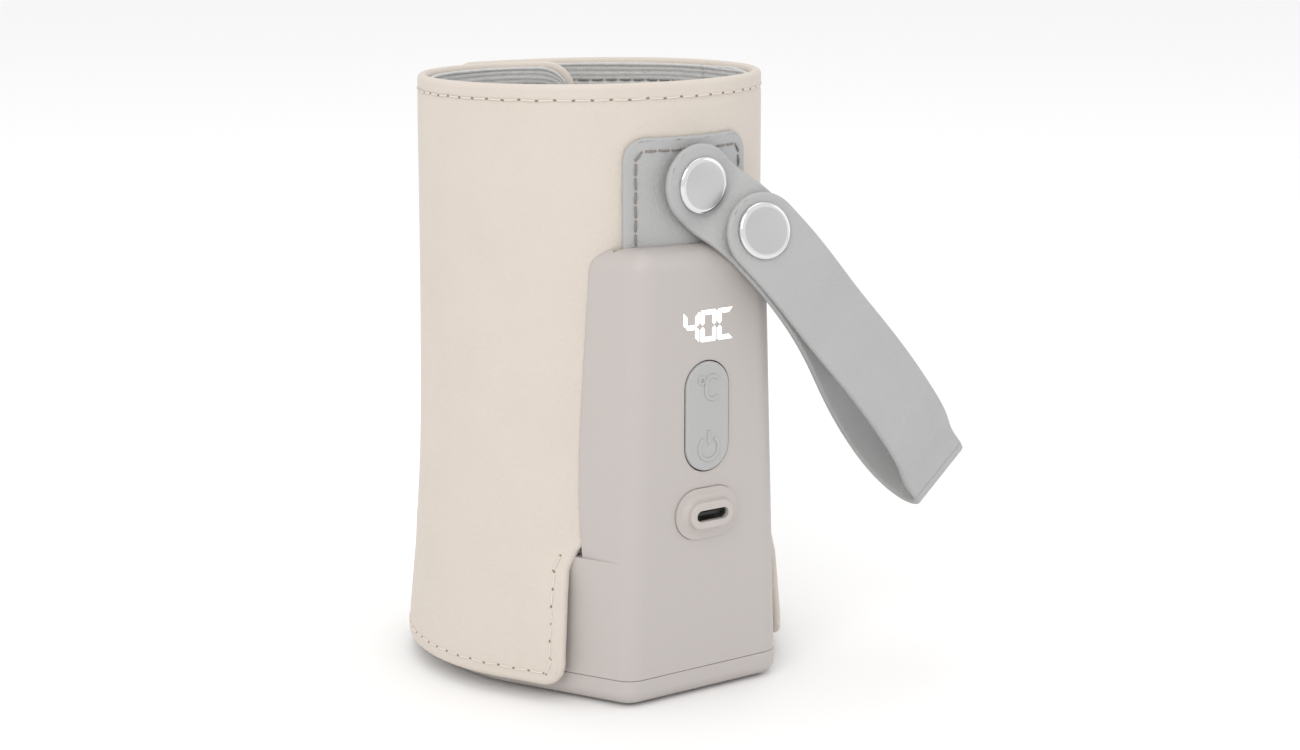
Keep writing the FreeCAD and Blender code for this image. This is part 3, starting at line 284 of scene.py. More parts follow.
finishes = {
    "main_housing": housing_abs, "bottom_cover": housing_abs, "socket_bezel": bezel_abs,
    "bottle_seat": inner_abs, "battery_holder": inner_abs, "pod_back_cover": inner_abs,
    "key_pad": silicone, "seat_pad": silicone, "foot_pad": silicone,
    "temperature_sensor": stainless, "socket_shell": stainless, "socket_tongue": black_plastic,
    "cover_screws": screw_steel, "seat_screws": screw_steel, "back_cover_screws": screw_steel,
    "snap_stud_upper": polished_nickel, "snap_socket_upper": polished_nickel,
    "snap_stud_lower": polished_nickel, "snap_socket_lower": polished_nickel,
    "power_board": circuit, "display_board": circuit, "power_board_parts": component,
    "display_light_guide": light_guide, "display_leds": led_dome, "battery_cells": sleeve,
    "battery_tabs": nickel_strip, "battery_leads": insulation, "flex_cable": polyimide,
    "key_contacts": carbon, "hook_strip": hook_tape, "loop_strip": hook_tape,
}
for node, material in finishes.items():
    mesh = frame["nodes"][node].data
    mesh.materials.clear()
    mesh.materials.append(material)
print("finishes on", len(finishes), "model pieces")

# %% [markdown]
# ## Building a sheet
# Every soft piece is a sheet with a thickness and round edges.  It starts as a grid of points on
# its outer face, with a mask that says which cells are there.  The inner face is the same grid
# pushed in along the normals, and the open edges get a half round strip, because a cut or turned
# leather edge is never sharp.  Where two meshes of one hide meet, the edge is marked as a seam
# and stays square, so that the two faces run on into each other.


# %% Sheet builder
def new_object(name, points, faces, material, smooth=True):
    mesh = bpy.data.meshes.new(name)
    mesh.from_pydata([tuple(p) for p in points], [], [tuple(f) for f in faces])
    mesh.validate()
    mesh.update()
    if smooth:
        mesh.polygons.foreach_set("use_smooth", [True] * len(mesh.polygons))
    for item in material if isinstance(material, (list, tuple)) else [material]:
        mesh.materials.append(item)
    made = bpy.data.objects.new(name, mesh)
    bpy.context.scene.collection.objects.link(made)
    return made


def grid_normals(points):
    """Unit normals of a grid of points; rows run up and columns run to the right."""
    up = np.gradient(points, axis=0)
    right = np.gradient(points, axis=1)
    normal = np.cross(right, up)
    return normal / np.maximum(np.linalg.norm(normal, axis=2, keepdims=True), 1e-12)


def sheet_mesh(name, points, thickness, material, cells=None, seam_columns=(), flip=False, rounding=0.5,
               inner_material=None):
    """A sheet with a thickness.  points is rows by columns by 3, on the outer face, in metres."""
    rows, columns = points.shape[:2]
    cells = np.ones((rows - 1, columns - 1), bool) if cells is None else cells
    normals = grid_normals(points) * (-1 if flip else 1)
    number = lambda i, j: i * columns + j
    outer = []
    for i, j in zip(*np.nonzero(cells)):
        quad = (number(i, j), number(i, j + 1), number(i + 1, j + 1), number(i + 1, j))
        outer.append(quad[::-1] if flip else quad)
    flat = points.reshape(-1, 3)
    normal = normals.reshape(-1, 3)
    directed = {(q[k], q[(k + 1) % 4]) for q in outer for k in range(4)}
    border = [(a, b) for a, b in directed if (b, a) not in directed]
    push = {}
    for a, b in border:
        for v in (a, b):
            push.setdefault(v, np.zeros(3))
        if a % columns in seam_columns and b % columns in seam_columns:
            continue
        run = flat[b] - flat[a]
        for v in (a, b):
            out = np.cross(run, normal[v])
            length = np.linalg.norm(out)
            if length > 1e-12:
                push[v] = push[v] + out / length
    radius = rounding * thickness
    used = sorted({v for q in outer for v in q})
    index = {v: k for k, v in enumerate(used)}
    # The edge is drawn in by its radius, and the rows near it less and less, so that none fold over.
    pushed = [v for v in push if np.linalg.norm(push[v]) > 1e-9]
    tree = KDTree(len(pushed))
    for k, v in enumerate(pushed):
        tree.insert(flat[v], k)
    tree.balance()
    verts = flat[used].copy()
    for k, v in enumerate(used):
        _, near, distance = tree.find(flat[v])
        share = 1 - distance / (3 * radius)
        if share > 0:
            pull = push[pushed[near]]
            verts[k] -= pull / np.linalg.norm(pull) * radius * share
    inner = verts - normal[used] * thickness
    edge_steps = 7
    strips = {}
    extra = []
    for v, direction in push.items():
        size = np.linalg.norm(direction)
        unit = direction / size if size > 1e-9 else np.zeros(3)
        k = index[v]
        base = verts[k]
        ring = []
        for step in range(1, edge_steps):
            angle = math.pi * step / edge_steps
            drop = thickness / 2 * (1 - math.cos(angle))
            extra.append(base + unit * radius * math.sin(angle) - normal[v] * drop)
            ring.append(len(extra) - 1)
        strips[v] = ring
    count = len(used)
    all_points = np.vstack([verts, inner] + ([np.array(extra)] if extra else []))
    faces = [tuple(index[v] for v in q) for q in outer]
    inside = [tuple(index[v] + count for v in reversed(q)) for q in outer]
    sides = []
    for a, b in border:
        chain = lambda v: [index[v]] + [2 * count + k for k in strips[v]] + [index[v] + count]
        left, right = chain(a), chain(b)
        for k in range(edge_steps):
            sides.append((left[k], left[k + 1], right[k + 1], right[k]))
    materials = [material, inner_material or material]
    made = new_object(name, all_points, faces + inside + sides, materials)
    made.data.polygons.foreach_set("material_index", [0] * len(faces) + [1] * len(inside) + [0] * len(sides))
    return made


def wave(a, b, seed):
    """Slow, even waviness between -1 and 1, from a few sine waves."""
    draw = np.random.default_rng(seed)
    total = np.zeros(np.broadcast(a, b).shape)
    for _ in range(6):
        fa, fb, phase = draw.uniform(-3, 3), draw.uniform(-3, 3), draw.uniform(0, 6.28)
        total = total + np.sin(fa * a + fb * b + phase)
    return total / 6


print("sheet builder ready")

# %% [markdown]
# ## The wrap's shape
# The wrap is nearly a cylinder.  It widens by five thousandths per millimetre downwards and
# spreads out softly over the base.  Its skirt follows the base, which is round at the back and has
# a flat front with round corners, and it stops short of the front on both sides.

# %% Shape of the wrap
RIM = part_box("wrap_leather")[1].z / MM
RIM_DROP = 1.8
RADIUS = 39.1
SEAT_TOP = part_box("bottle_seat")[1].z / MM
FLAP_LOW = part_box("closing_flap_leather")[0].z / MM
SKIRT_TOP = FLAP_LOW - 1.1
LEATHER = 2.3        # hide, foam and film together
LINING = 1.0


def wrap_radius(z):
    return RADIUS + 0.005 * (RIM - z) + 4.0 * np.exp(-(z / 32.0) ** 2)


def direction(angle):
    """Level direction, turned from the front towards the right, as x and y."""
    turn = np.radians(angle)
    return np.stack([np.sin(turn), -np.cos(turn)], -1)


def base_reach(angle, z, grow):
    """Distance from the axis to the base's outline grown outwards, in one direction."""
    radius = 39.0 - 1.7 * z / 33.0
    centre = np.stack([17.2 - 0.0395 * z, -40.0 + 0 * z], -1)
    ray = direction(np.abs(angle))
    small, large = 5.5 + grow, radius + grow
    along = (centre * ray).sum(-1)
    across = centre[..., 0] * ray[..., 1] - centre[..., 1] * ray[..., 0]
    corner = along + np.sqrt(np.maximum(small ** 2 - across ** 2, 0))
    reach = np.hypot(centre[..., 0], centre[..., 1])
    tilt = np.arctan2(-centre[..., 1], centre[..., 0]) - np.arccos((radius - 5.5) / reach)
    side_normal = np.stack([np.cos(tilt), -np.sin(tilt)], -1)
    side = large / np.maximum((ray * side_normal).sum(-1), 1e-6)
    side_angle = 90 - np.degrees(tilt)
    leave = centre + side_normal * small[..., None] if np.ndim(small) else centre + side_normal * small
    leave_angle = np.degrees(np.arctan2(leave[..., 0], -leave[..., 1]))
    result = np.where(np.abs(angle) > side_angle, large, side)
    return np.where(np.abs(angle) < leave_angle, corner, result)


def wrap_reach(angle, z):
    """Distance from the axis to the leather's outer face."""
    upper = wrap_radius(z)
    share = np.clip((z - 4.0) / (SKIRT_TOP - 4.0), 0, 1)
    skirt = base_reach(angle, z, 2.2 - 1.4 * share + 2.4)
    mix = np.clip((z - 24.0) / 14.0, 0, 1)
    mix = mix * mix * (3 - 2 * mix)
    return skirt * (1 - mix) + upper * mix


def on_wrap(angle, z, inset=0.0):
    """A point on the wrap's outer face, in metres."""
    angle, z = np.broadcast_arrays(np.asarray(angle, float), np.asarray(z, float))
    reach = wrap_reach(angle, z) - inset
    xy = direction(angle) * reach[..., None]
    return np.concatenate([xy, z[..., None]], -1) * MM


def rim_at(y_mm):
    """Height of the rim, which slopes down towards the back."""
    return RIM - 0.02 - RIM_DROP * (y_mm + RADIUS) / (2 * RADIUS)


def steps(low, high, size, fine=()):
    """Numbers from low to high, closer together where fine says (centre, half width, size)."""
    marks = [low]
    while marks[-1] < high - 1e-6:
        here = marks[-1]
        step = size
        for centre, half, small in fine:
            if centre - half <= here <= centre + half:
                step = min(step, small)
            elif here < centre - half < here + step:
                step = min(step, max(centre - half - here, small))
        marks.append(min(high, here + step))
    return np.array(marks)


print("rim", round(RIM, 2), "mm, seat", round(SEAT_TOP, 2), "mm, flaps from", round(FLAP_LOW, 2), "mm")

# %% [markdown]
# ## The fixed leather
# One hide makes the front of the wrap and the skirt round the base.  Its left edge ends in a
# stitched tongue beside the housing.  The grid runs from 42 degrees right of the front, round the
# back, to 42 degrees left, plus the middle behind the housing; a mask leaves out what isn't
# leather: the window behind the housing, the open front of the skirt and the flaps.

# %% Fixed leather
CLOSE_AT, INNER_AT = 100.0, -125.0
RAMP = 3.2                      # degrees that a flap's bend reaches to each side of its hinge
HALF_OPEN = 42.0                # the skirt's edge beside the housing
WINDOW = 24.5
WINDOW_TOP = 99.6


def softly(angle, z, seed=3):
    """How far the hide bulges out, in millimetres: slow waves, and a groove along the stitches."""
    slow = 0.16 * wave(np.radians(angle) * 2.0, z / 28.0, seed)
    rim_line = rim_at(0) - 3.4
    groove = -0.16 * np.exp(-((z - rim_line) / 0.8) ** 2) * (z > 100)
    return slow * np.clip((z - 2.0) / 10.0, 0, 1) * np.clip((RIM - z) / 12.0, 0.15, 1) + groove


def hide_point(angle, z):
    angle, z = np.broadcast_arrays(np.asarray(angle, float), np.asarray(z, float))
    return on_wrap(angle, z, -softly(angle, z))


front_columns = np.concatenate([
    steps(INNER_AT + RAMP, -HALF_OPEN, 1.6, [(INNER_AT + RAMP, 0.5, 0.25)])[:-1],
    steps(-HALF_OPEN, -WINDOW, 1.25)[:-1], steps(-WINDOW, WINDOW, 1.75)[:-1],
    steps(WINDOW, HALF_OPEN, 1.25)[:-1],
    steps(HALF_OPEN, CLOSE_AT - RAMP, 1.6, [(CLOSE_AT - RAMP, 0.5, 0.25)])[:-1],
    steps(CLOSE_AT - RAMP, 360 + INNER_AT + RAMP, 2.0)])
skirt_rows = steps(4.0, SKIRT_TOP, 1.2, [(4.0, 3.5, 0.4)])
upper_rows = np.concatenate([steps(FLAP_LOW, WINDOW_TOP, 1.6)[:-1],
                             steps(WINDOW_TOP, RIM, 1.5, [(RIM - 3.4, 2.4, 0.4), (RIM - 0.5, 0.5, 0.4)])])
row_heights = np.concatenate([skirt_rows, upper_rows])
angles, heights = np.meshgrid(front_columns, row_heights)
top_share = np.clip((heights - WINDOW_TOP) / (RIM - WINDOW_TOP), 0, 1)
rim_here = rim_at(on_wrap(angles, np.full_like(angles, RIM))[..., 1] / MM)
heights = np.where(heights > WINDOW_TOP, WINDOW_TOP + top_share * (rim_here - WINDOW_TOP), heights)

# The skirt's front edges: straight up to 31 mm, then a step back to the housing's side.
edge_now = np.interp(heights, [4.0, 11.0, 25.0, 31.0, 34.6, 35.6], [42.0, 42.0, 41.5, 40.9, 38.0, 36.6])
settle = np.clip((heights - 35.6) / 14.0, 0, 1)
shift = np.where(heights <= 35.6, HALF_OPEN - edge_now, 5.4 * (1 - settle * settle * (3 - 2 * settle)))
size_of = np.abs(angles)
share = np.where(size_of >= HALF_OPEN, np.clip((HALF_OPEN + 14.0 - size_of) / 14.0, 0, 1),
                 np.clip((size_of - WINDOW) / (HALF_OPEN - WINDOW), 0, 1))
angles = angles - np.sign(angles) * shift * share * (size_of < 180)

cell_angle = (front_columns[:-1] + front_columns[1:]) / 2
cell_height = (row_heights[:-1] + row_heights[1:]) / 2
on_skirt = cell_height[:, None] < FLAP_LOW
open_front = np.abs(cell_angle[None, :]) < HALF_OPEN
window = (np.abs(cell_angle[None, :]) < WINDOW) & (cell_height[:, None] < WINDOW_TOP)
behind_flaps = cell_angle[None, :] > CLOSE_AT - RAMP
slit = (cell_height[:, None] > SKIRT_TOP) & (cell_height[:, None] < FLAP_LOW)
present = np.where(on_skirt, ~open_front, ~window & ~behind_flaps)
present &= ~(slit & behind_flaps)

# Round off the skirt's lower front corners.
points = hide_point(angles, heights)
for edge_side in (-1, 1):
    corner_angle = edge_side * HALF_OPEN
    column = int(np.argmin(np.abs(front_columns - corner_angle)))
    r = 5.0
    for step in range(0, 9):
        j = column - step if edge_side < 0 else column + step
        width = abs(math.radians(front_columns[j] - corner_angle)) * 43.0
        if width >= r:
            break
        lift = r - math.sqrt(max(r * r - (r - width) ** 2, 0))
        z_here = heights[:len(skirt_rows), j]
        new_z = np.where(z_here < 4.0 + 2 * r, 4.0 + lift + (z_here - 4.0) * (2 * r - lift) / (2 * r), z_here)
        points[:len(skirt_rows), j] = hide_point(angles[:len(skirt_rows), j], new_z)

seams = {0, len(front_columns) - 1, int(np.argmin(np.abs(front_columns - (CLOSE_AT - RAMP))))}
wrap_front = sheet_mesh("wrap_leather_front", points, LEATHER * MM, cream_leather, present, seams)
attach(wrap_front, "housing")
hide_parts("wrap_leather", "wrap_foam", "heating_film")
print("fixed leather:", len(wrap_front.data.vertices), "points")

# %% [markdown]
# ## The two flaps
# The wrap opens at the back.  The outer flap goes on round from the right and its end stands off
# a little; the inner flap curls in from the left.  Each one is a sheet that follows the housing up
# to its hinge line and the flap's own line beyond it.

# %% Flaps
CLOSE_TURN, CLOSE_END, CLOSE_SPREAD = 155.0, 188.0, 12.6
INNER_END, INNER_CURL = -230.0, 10.7
FOOT_CORNER = 3.0               # radius of each flap's lower corner at its free end


def closing_line(angle, inset, z):
    """Level position of the outer flap's line, in millimetres."""
    share = np.clip((angle - (CLOSE_AT - RAMP)) / 24.0, 0, 1)
    radius = (wrap_radius(z) + softly(angle, z)) * (1 - share) + (39.4 + softly(angle, z)) * share - inset
    far = np.maximum(angle - CLOSE_TURN, 0) > 0
    centre = direction(np.full_like(angle, CLOSE_TURN)) * np.where(far, -CLOSE_SPREAD, 0.0)[..., None]
    reach = np.where(far, radius + CLOSE_SPREAD, radius)
    return centre + direction(angle) * reach[..., None]


def inner_line(angle, inset, z):
    share = np.clip((INNER_AT + RAMP - angle) / 24.0, 0, 1)
    radius = (wrap_radius(z) + softly(angle, z)) * (1 - share) + 39.4 * share - inset
    curled = angle < INNER_AT
    centre = direction(np.full_like(angle, INNER_AT)) * np.where(curled, INNER_CURL, 0.0)[..., None]
    reach = np.where(curled, radius - INNER_CURL, radius)
    return centre + direction(angle) * reach[..., None]


def flap_points(line, columns, rows, inset, top_drop, corner):
    """A grid on a flap; the last column is the free end, whose top corner is rounded."""
    angle, z = np.meshgrid(columns, rows)
    xy = line(angle, inset, z)
    top = rim_at(xy[..., 1]) - top_drop
    run = np.linalg.norm(np.diff(xy[-1], axis=0), axis=1)
    from_end = np.concatenate([[0], np.cumsum(run[::-1])])[::-1]
    rounded = lambda r: np.where(from_end < r, r - np.sqrt(np.maximum(r * r - (r - from_end) ** 2, 0)), 0.0)
    drop = rounded(corner)
    foot = rounded(FOOT_CORNER)
    low, high = rows[0], rows[-1]
    band = 2 * corner
    share_top = np.clip((z - (high - band)) / band, 0, 1)
    share_low = np.clip((low + 6.0 - z) / 6.0, 0, 1)
    height = z + (top - high) * np.clip((z - low) / (high - low), 0, 1) - drop * share_top + foot * share_low
    return np.concatenate([xy, height[..., None]], -1) * MM


flap_rows = steps(FLAP_LOW, RIM, 1.6, [(FLAP_LOW, 3.0, 0.5), (RIM - 3.4, 2.4, 0.4), (RIM - 0.5, 0.5, 0.4)])
closing_columns = np.concatenate([
    steps(CLOSE_AT - RAMP, CLOSE_AT + 4, 0.7, [(CLOSE_AT - RAMP, 0.5, 0.25)])[:-1],
    steps(CLOSE_AT + 4, CLOSE_END, 1.6, [(CLOSE_END, 9.0, 0.7)])])
inner_columns = np.concatenate([
    -steps(-(INNER_AT + RAMP), -INNER_AT + 4, 0.7, [(-(INNER_AT + RAMP), 0.5, 0.25)])[:-1],
    -steps(-INNER_AT + 4, -INNER_END, 2.0, [(-INNER_END, 16.0, 1.0)])])


closing_points = flap_points(closing_line, closing_columns, flap_rows, 0.0, 0.0, 5.0)
closing_leather = sheet_mesh("closing_flap_leather_sheet", closing_points, LEATHER * MM, cream_leather,
                             seam_columns={0})
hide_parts("closing_flap_leather")

inner_points = flap_points(inner_line, inner_columns, flap_rows, 0.0, 0.0, 8.0)
inner_leather = sheet_mesh("inner_flap_leather_sheet", inner_points, LEATHER * MM, cream_leather,
                           seam_columns={0}, flip=True)
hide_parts("inner_flap_leather")
print("flaps:", len(closing_leather.data.vertices), "and", len(inner_leather.data.vertices), "points")

# %% [markdown]
# ## The ribbed lining
# A rib of this knit is a little over a millimetre high.  The ribs run level and waver slightly,
# because the knit is stretched by hand when it is glued in.  They are modelled, so that they show
# against the light at the rim.

# %% Lining
RIB = 1.2
LINING_DROP = 1.0


def ribs(angle, z):
    """How far the knit stands out, in millimetres."""
    shift = 0.35 * wave(np.radians(angle) * 2.5, z / 9.0, 11)
    phase = (z + shift) / RIB * 2 * math.pi
    return 0.26 * (0.5 + 0.5 * np.cos(phase)) ** 0.7 - 0.3 * np.exp(-((z - (RIM - 4.4)) / 0.5) ** 2)


lining_rows = steps(SEAT_TOP + 0.4, RIM, 0.3)
lining_inset = LEATHER + LINING - 0.15


def lining_grid(columns):
    angle, z = np.meshgrid(columns, lining_rows)
    reach = wrap_radius(z) - lining_inset - ribs(angle, z)
    xy = direction(angle) * reach[..., None]
    top = rim_at(direction(angle)[..., 1] * wrap_radius(RIM)) - LINING_DROP
    height = z + (top - RIM) * np.clip((z - 100.0) / (RIM - 100.0), 0, 1)
    return np.concatenate([xy, height[..., None]], -1) * MM


KNIT = (LINING - 0.2) * MM
lining_columns = steps(INNER_AT + RAMP, CLOSE_AT - RAMP, 2.4)
front_lining = sheet_mesh("wrap_lining_knit", lining_grid(lining_columns), KNIT, knit,
                          seam_columns={0, len(lining_columns) - 1}, flip=True)
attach(front_lining, "housing")
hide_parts("wrap_lining")


def flap_lining(name, line, columns, corner, flip):
    rows = steps(FLAP_LOW + 0.3, RIM, 0.3)
    angle, z = np.meshgrid(columns, rows)
    points = flap_points(lambda a, inset, zz: line(a, inset + ribs(a, zz), zz), columns, rows, lining_inset,
                         LINING_DROP, corner)
    return sheet_mesh(name, points, KNIT, knit, seam_columns={0}, flip=flip)


closing_lining = flap_lining("closing_flap_lining_knit", closing_line,
                             steps(CLOSE_AT - RAMP, CLOSE_END - 1.2, 2.2), 5.0, True)
inner_lining = flap_lining("inner_flap_lining_knit", inner_line,
                           -steps(-(INNER_AT + RAMP), -INNER_END - 1.8, 2.6), 7.5, False)
for made, node in ((closing_lining, "closing_flap_lining"), (inner_lining, "inner_flap_lining")):
    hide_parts(node)
for made in (closing_leather, closing_lining):
    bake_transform(made)
for made in (inner_leather, inner_lining):
    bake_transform(made)
print("lining:", sum(len(o.data.vertices) for o in (front_lining, closing_lining, inner_lining)), "points")

# %% [markdown]
# ## Stitches
# A lockstitch shows as a short thread that dips into a needle hole at each end.  Each one is a
# little bent tube with a dark spot at both ends.  They follow the hide's edges at an even pitch.


# %% Stitches
def stitch_row(name, spots, normals, pitch, length, radius, threads):
    """Threads along a line of points; spots and normals are dense samples of it, in metres."""
    spots, normals = np.asarray(spots), np.asarray(normals)
    run = np.concatenate([[0], np.cumsum(np.linalg.norm(np.diff(spots, axis=0), axis=1))])
    count = max(1, int(round(run[-1] / pitch)))
    points, faces, slots = [], [], []
    sides, rings = 6, 7
    for k in range(count):
        middle = (k + 0.5) * run[-1] / count
        centre = np.array([np.interp(middle, run, spots[:, a]) for a in range(3)])
        ahead = np.array([np.interp(middle + 0.0004, run, spots[:, a]) for a in range(3)])
        back = np.array([np.interp(middle - 0.0004, run, spots[:, a]) for a in range(3)])
        along = (ahead - back) / np.linalg.norm(ahead - back)
        normal = np.array([np.interp(middle, run, normals[:, a]) for a in range(3)])
        normal = normal - along * normal.dot(along)
        normal /= np.linalg.norm(normal)
        across = np.cross(normal, along)
        tilt = 0.06 * math.sin(k * 2.7)
        along = along * math.cos(tilt) + across * math.sin(tilt)
        across = np.cross(normal, along)
        first = len(points)
        for ring in range(rings):
            t = -1 + 2 * ring / (rings - 1)
            lift = radius * 0.45 * (1 - t ** 4) - radius * 1.1 * t ** 6
            thick = radius * (1 - 0.35 * t ** 6)
            for side in range(sides):
                turn = 2 * math.pi * side / sides
                points.append(centre + along * (t * length / 2) + normal * (lift + thick * math.sin(turn))
                              + across * thick * math.cos(turn))
        for ring in range(rings - 1):
            for side in range(sides):
                a, b = first + ring * sides + side, first + ring * sides + (side + 1) % sides
                faces.append((a, b, b + sides, a + sides))
                slots.append(0)
        for end in (-1, 1):
            start = len(points)
            spot = centre + along * end * length * 0.5
            for side in range(8):
                turn = 2 * math.pi * side / 8
                points.append(spot + normal * 0.00004 + along * radius * 1.25 * math.cos(turn)
                              + across * radius * 1.25 * math.sin(turn))
            faces.append(tuple(start + side for side in range(8)))
            slots.append(1)
    made = new_object(name, points, faces, [threads, needle_hole])
    made.data.polygons.foreach_set("material_index", slots)
    return made


def level_normals(spots, centre=(0, 0)):
    out = np.array(spots, float)
    out[:, 0] -= centre[0]
    out[:, 1] -= centre[1]
    out[:, 2] = 0
    return out / np.linalg.norm(out, axis=1, keepdims=True)


RIM_INSET = 3.4
stitch = dict(pitch=4.0 * MM, length=3.7 * MM, radius=0.20 * MM, threads=thread)
skirt_stitch = dict(stitch, pitch=3.9 * MM)
inside_stitch = dict(pitch=3.4 * MM, length=2.2 * MM, radius=0.22 * MM, threads=grey_thread)
curl_centre = direction(np.array(INNER_AT)) * INNER_CURL * MM


def front_line(angle, inset, z):
    return direction(angle) * (wrap_radius(z) + softly(angle, z) - inset)[..., None]


def sew(name, spots, normals, thread_sizes, flap=None, whole=False):
    """A row on the fixed wrap, across a flap's bend or, where whole is true, on the flap alone."""
    row = stitch_row(name, spots, normals, **thread_sizes)
    if flap is None or whole:
        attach(row, flap or "housing")
    else:
        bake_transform(row)
    return row


def level_row(line, angles_here, inset, below, drop=0.0):
    """Points that keep one distance below the rim."""
    xy = line(angles_here, inset, np.full_like(angles_here, RIM - below))
    return np.concatenate([xy, (rim_at(xy[:, 1]) - below - drop)[:, None]], -1) * MM


def flap_row(line, angles_here, height):
    spots_here = np.broadcast_arrays(angles_here, height)
    xy = line(spots_here[0], 0.0, spots_here[1])
    return np.concatenate([xy, np.asarray(spots_here[1])[:, None]], -1) * MM


front_angles = np.linspace(INNER_AT + RAMP, CLOSE_AT - RAMP, 400)
closing_angles = np.linspace(CLOSE_AT - RAMP, CLOSE_END - 4.0, 200)
spots = level_row(front_line, front_angles, 0.0, RIM_INSET)
sew("rim_stitches_front", spots, level_normals(spots), stitch)

# Down the tongue's edge beside the housing and all round the skirt's lower edge.
edge_z = np.array([36.0, 34.8, 31.0, 25.0, 11.0])
edge_a = np.array([36.6, 38.6, 40.9, 41.5, 42.0])
inset_angle = math.degrees(3.0 / 43.0)
for side_sign, tag in ((-1, "left"), (1, "right")):
    z_line = np.linspace(33.5, 10.5, 60)
    a_line = np.interp(-z_line, -edge_z, edge_a) + inset_angle
    turn_t = np.linspace(0, math.pi / 2, 12)
    turn_a = HALF_OPEN + inset_angle + 2.4 * (1 - np.cos(turn_t))
    turn_z = 9.6 - 2.7 * np.sin(turn_t)
    bottom_a = np.linspace(HALF_OPEN + inset_angle + 3.0, 178.0, 240)
    bottom_z = np.full(240, 4.0 + 2.9)
    path_a = np.concatenate([a_line, turn_a, bottom_a]) * side_sign
    spots = hide_point(path_a, np.concatenate([z_line, turn_z, bottom_z]))
    sew("skirt_stitches_" + tag, spots, level_normals(spots), skirt_stitch)

spots = level_row(closing_line, closing_angles, 0.0, RIM_INSET)
sew("rim_stitches_closing_flap", spots, level_normals(spots), stitch, "closing_flap")
end_z = np.linspace(RIM - 8.0, FLAP_LOW + 4.0, 60)
spots = flap_row(closing_line, CLOSE_END - 3.4, end_z)
sew("end_stitches_closing_flap", spots, level_normals(spots), stitch, "closing_flap", whole=True)
spots = flap_row(closing_line, np.linspace(CLOSE_AT - RAMP, CLOSE_END - 3.4, 160), FLAP_LOW + 3.0)
sew("foot_stitches_closing_flap", spots, level_normals(spots), stitch, "closing_flap")
spots = level_row(inner_line, np.linspace(INNER_AT + RAMP, INNER_END + 12.0, 200), 0.0, RIM_INSET)
sew("rim_stitches_inner_flap", spots, level_normals(spots, curl_centre), stitch, "inner_flap")

# The same seams show inside as short grey threads in a dimpled line.
INSIDE_BELOW = 4.4
lining_depth = lining_inset - 0.05
inside_drop = LINING_DROP * 0.9
spots = level_row(front_line, front_angles, lining_depth, INSIDE_BELOW, inside_drop)
sew("inside_stitches_front", spots, -level_normals(spots), inside_stitch)
spots = level_row(closing_line, closing_angles, lining_depth, INSIDE_BELOW, inside_drop)
sew("inside_stitches_closing_flap", spots, -level_normals(spots), inside_stitch, "closing_flap")
spots = level_row(inner_line, np.linspace(INNER_AT + RAMP, INNER_END + 14.0, 200), lining_depth,
                  INSIDE_BELOW, inside_drop)
sew("inside_stitches_inner_flap", spots, -level_normals(spots, curl_centre), inside_stitch, "inner_flap")

# %% [markdown]
# ## Patch, strap and snap fasteners
# The patch is a rounded square of the grey leather, sewn on above the housing.  The strap is one
# band, folded over: it is snapped to the patch at its upper end, runs out to the right, turns and
# comes back, where its free end snaps onto its own front.

# %% Patch
patch_low, patch_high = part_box("leather_patch")
PATCH_HALF, PATCH_TOP, PATCH_LOW = patch_high.x / MM, patch_high.z / MM, patch_low.z / MM
half_angle = math.degrees(math.asin(PATCH_HALF / (RADIUS + 1.3)))
patch_z = steps(PATCH_LOW, PATCH_TOP, 0.8, [(PATCH_TOP, 6.0, 0.35)])
patch_u = np.linspace(-1, 1, 61)
u, z = np.meshgrid(patch_u, patch_z)
corner = 5.0
above = np.maximum(z - (PATCH_TOP - corner), 0)
PATCH_REACH = 40.4               # the patch's own distance from the bottle's axis
turned_in = 1 - np.sqrt(np.maximum(1 - (above / corner) ** 2, 0))
half_width = half_angle - math.degrees(corner / PATCH_REACH) * turned_in
stitch_line = 0.14 * np.exp(-((np.abs(u) * half_angle - (half_angle - 4.0)) / 1.0) ** 2) * (z < PATCH_TOP - 3)
reach = wrap_radius(z) + 1.25 - stitch_line + 0.04 * wave(u * 2, z / 9, 5)
xy = direction(u * half_width) * reach[..., None]
patch = sheet_mesh("leather_patch_sheet", np.concatenate([xy, z[..., None]], -1) * MM, 1.2 * MM, grey_leather)
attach(patch, "housing")
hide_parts("leather_patch")

side_z = np.linspace(PATCH_LOW + 3.0, PATCH_TOP - 5.6, 60)
turn_t = np.linspace(0, math.pi / 2, 14)
bow = math.degrees(2.8 / PATCH_REACH)
edge = half_angle - bow
right_side = np.stack([np.full(60, edge), side_z], -1)
right_turn = np.stack([edge - bow * (1 - np.cos(turn_t)), PATCH_TOP - 5.6 + 2.8 * np.sin(turn_t)], -1)
across_top = np.stack([np.linspace(edge - bow, -(edge - bow), 80), np.full(80, PATCH_TOP - 2.8)], -1)
mirror = np.array([-1, 1])
path = np.concatenate([right_side, right_turn, across_top, right_turn[::-1] * mirror, right_side[::-1] * mirror])
reach = wrap_radius(path[:, 1]) + 1.27
spots = np.concatenate([direction(path[:, 0]) * reach[:, None], path[:, 1:2]], -1) * MM
patch_stitch = dict(pitch=3.1 * MM, length=2.1 * MM, radius=0.24 * MM, threads=grey_thread)
sew("patch_stitches", spots, level_normals(spots), patch_stitch)
print("patch:", len(patch.data.vertices), "points")
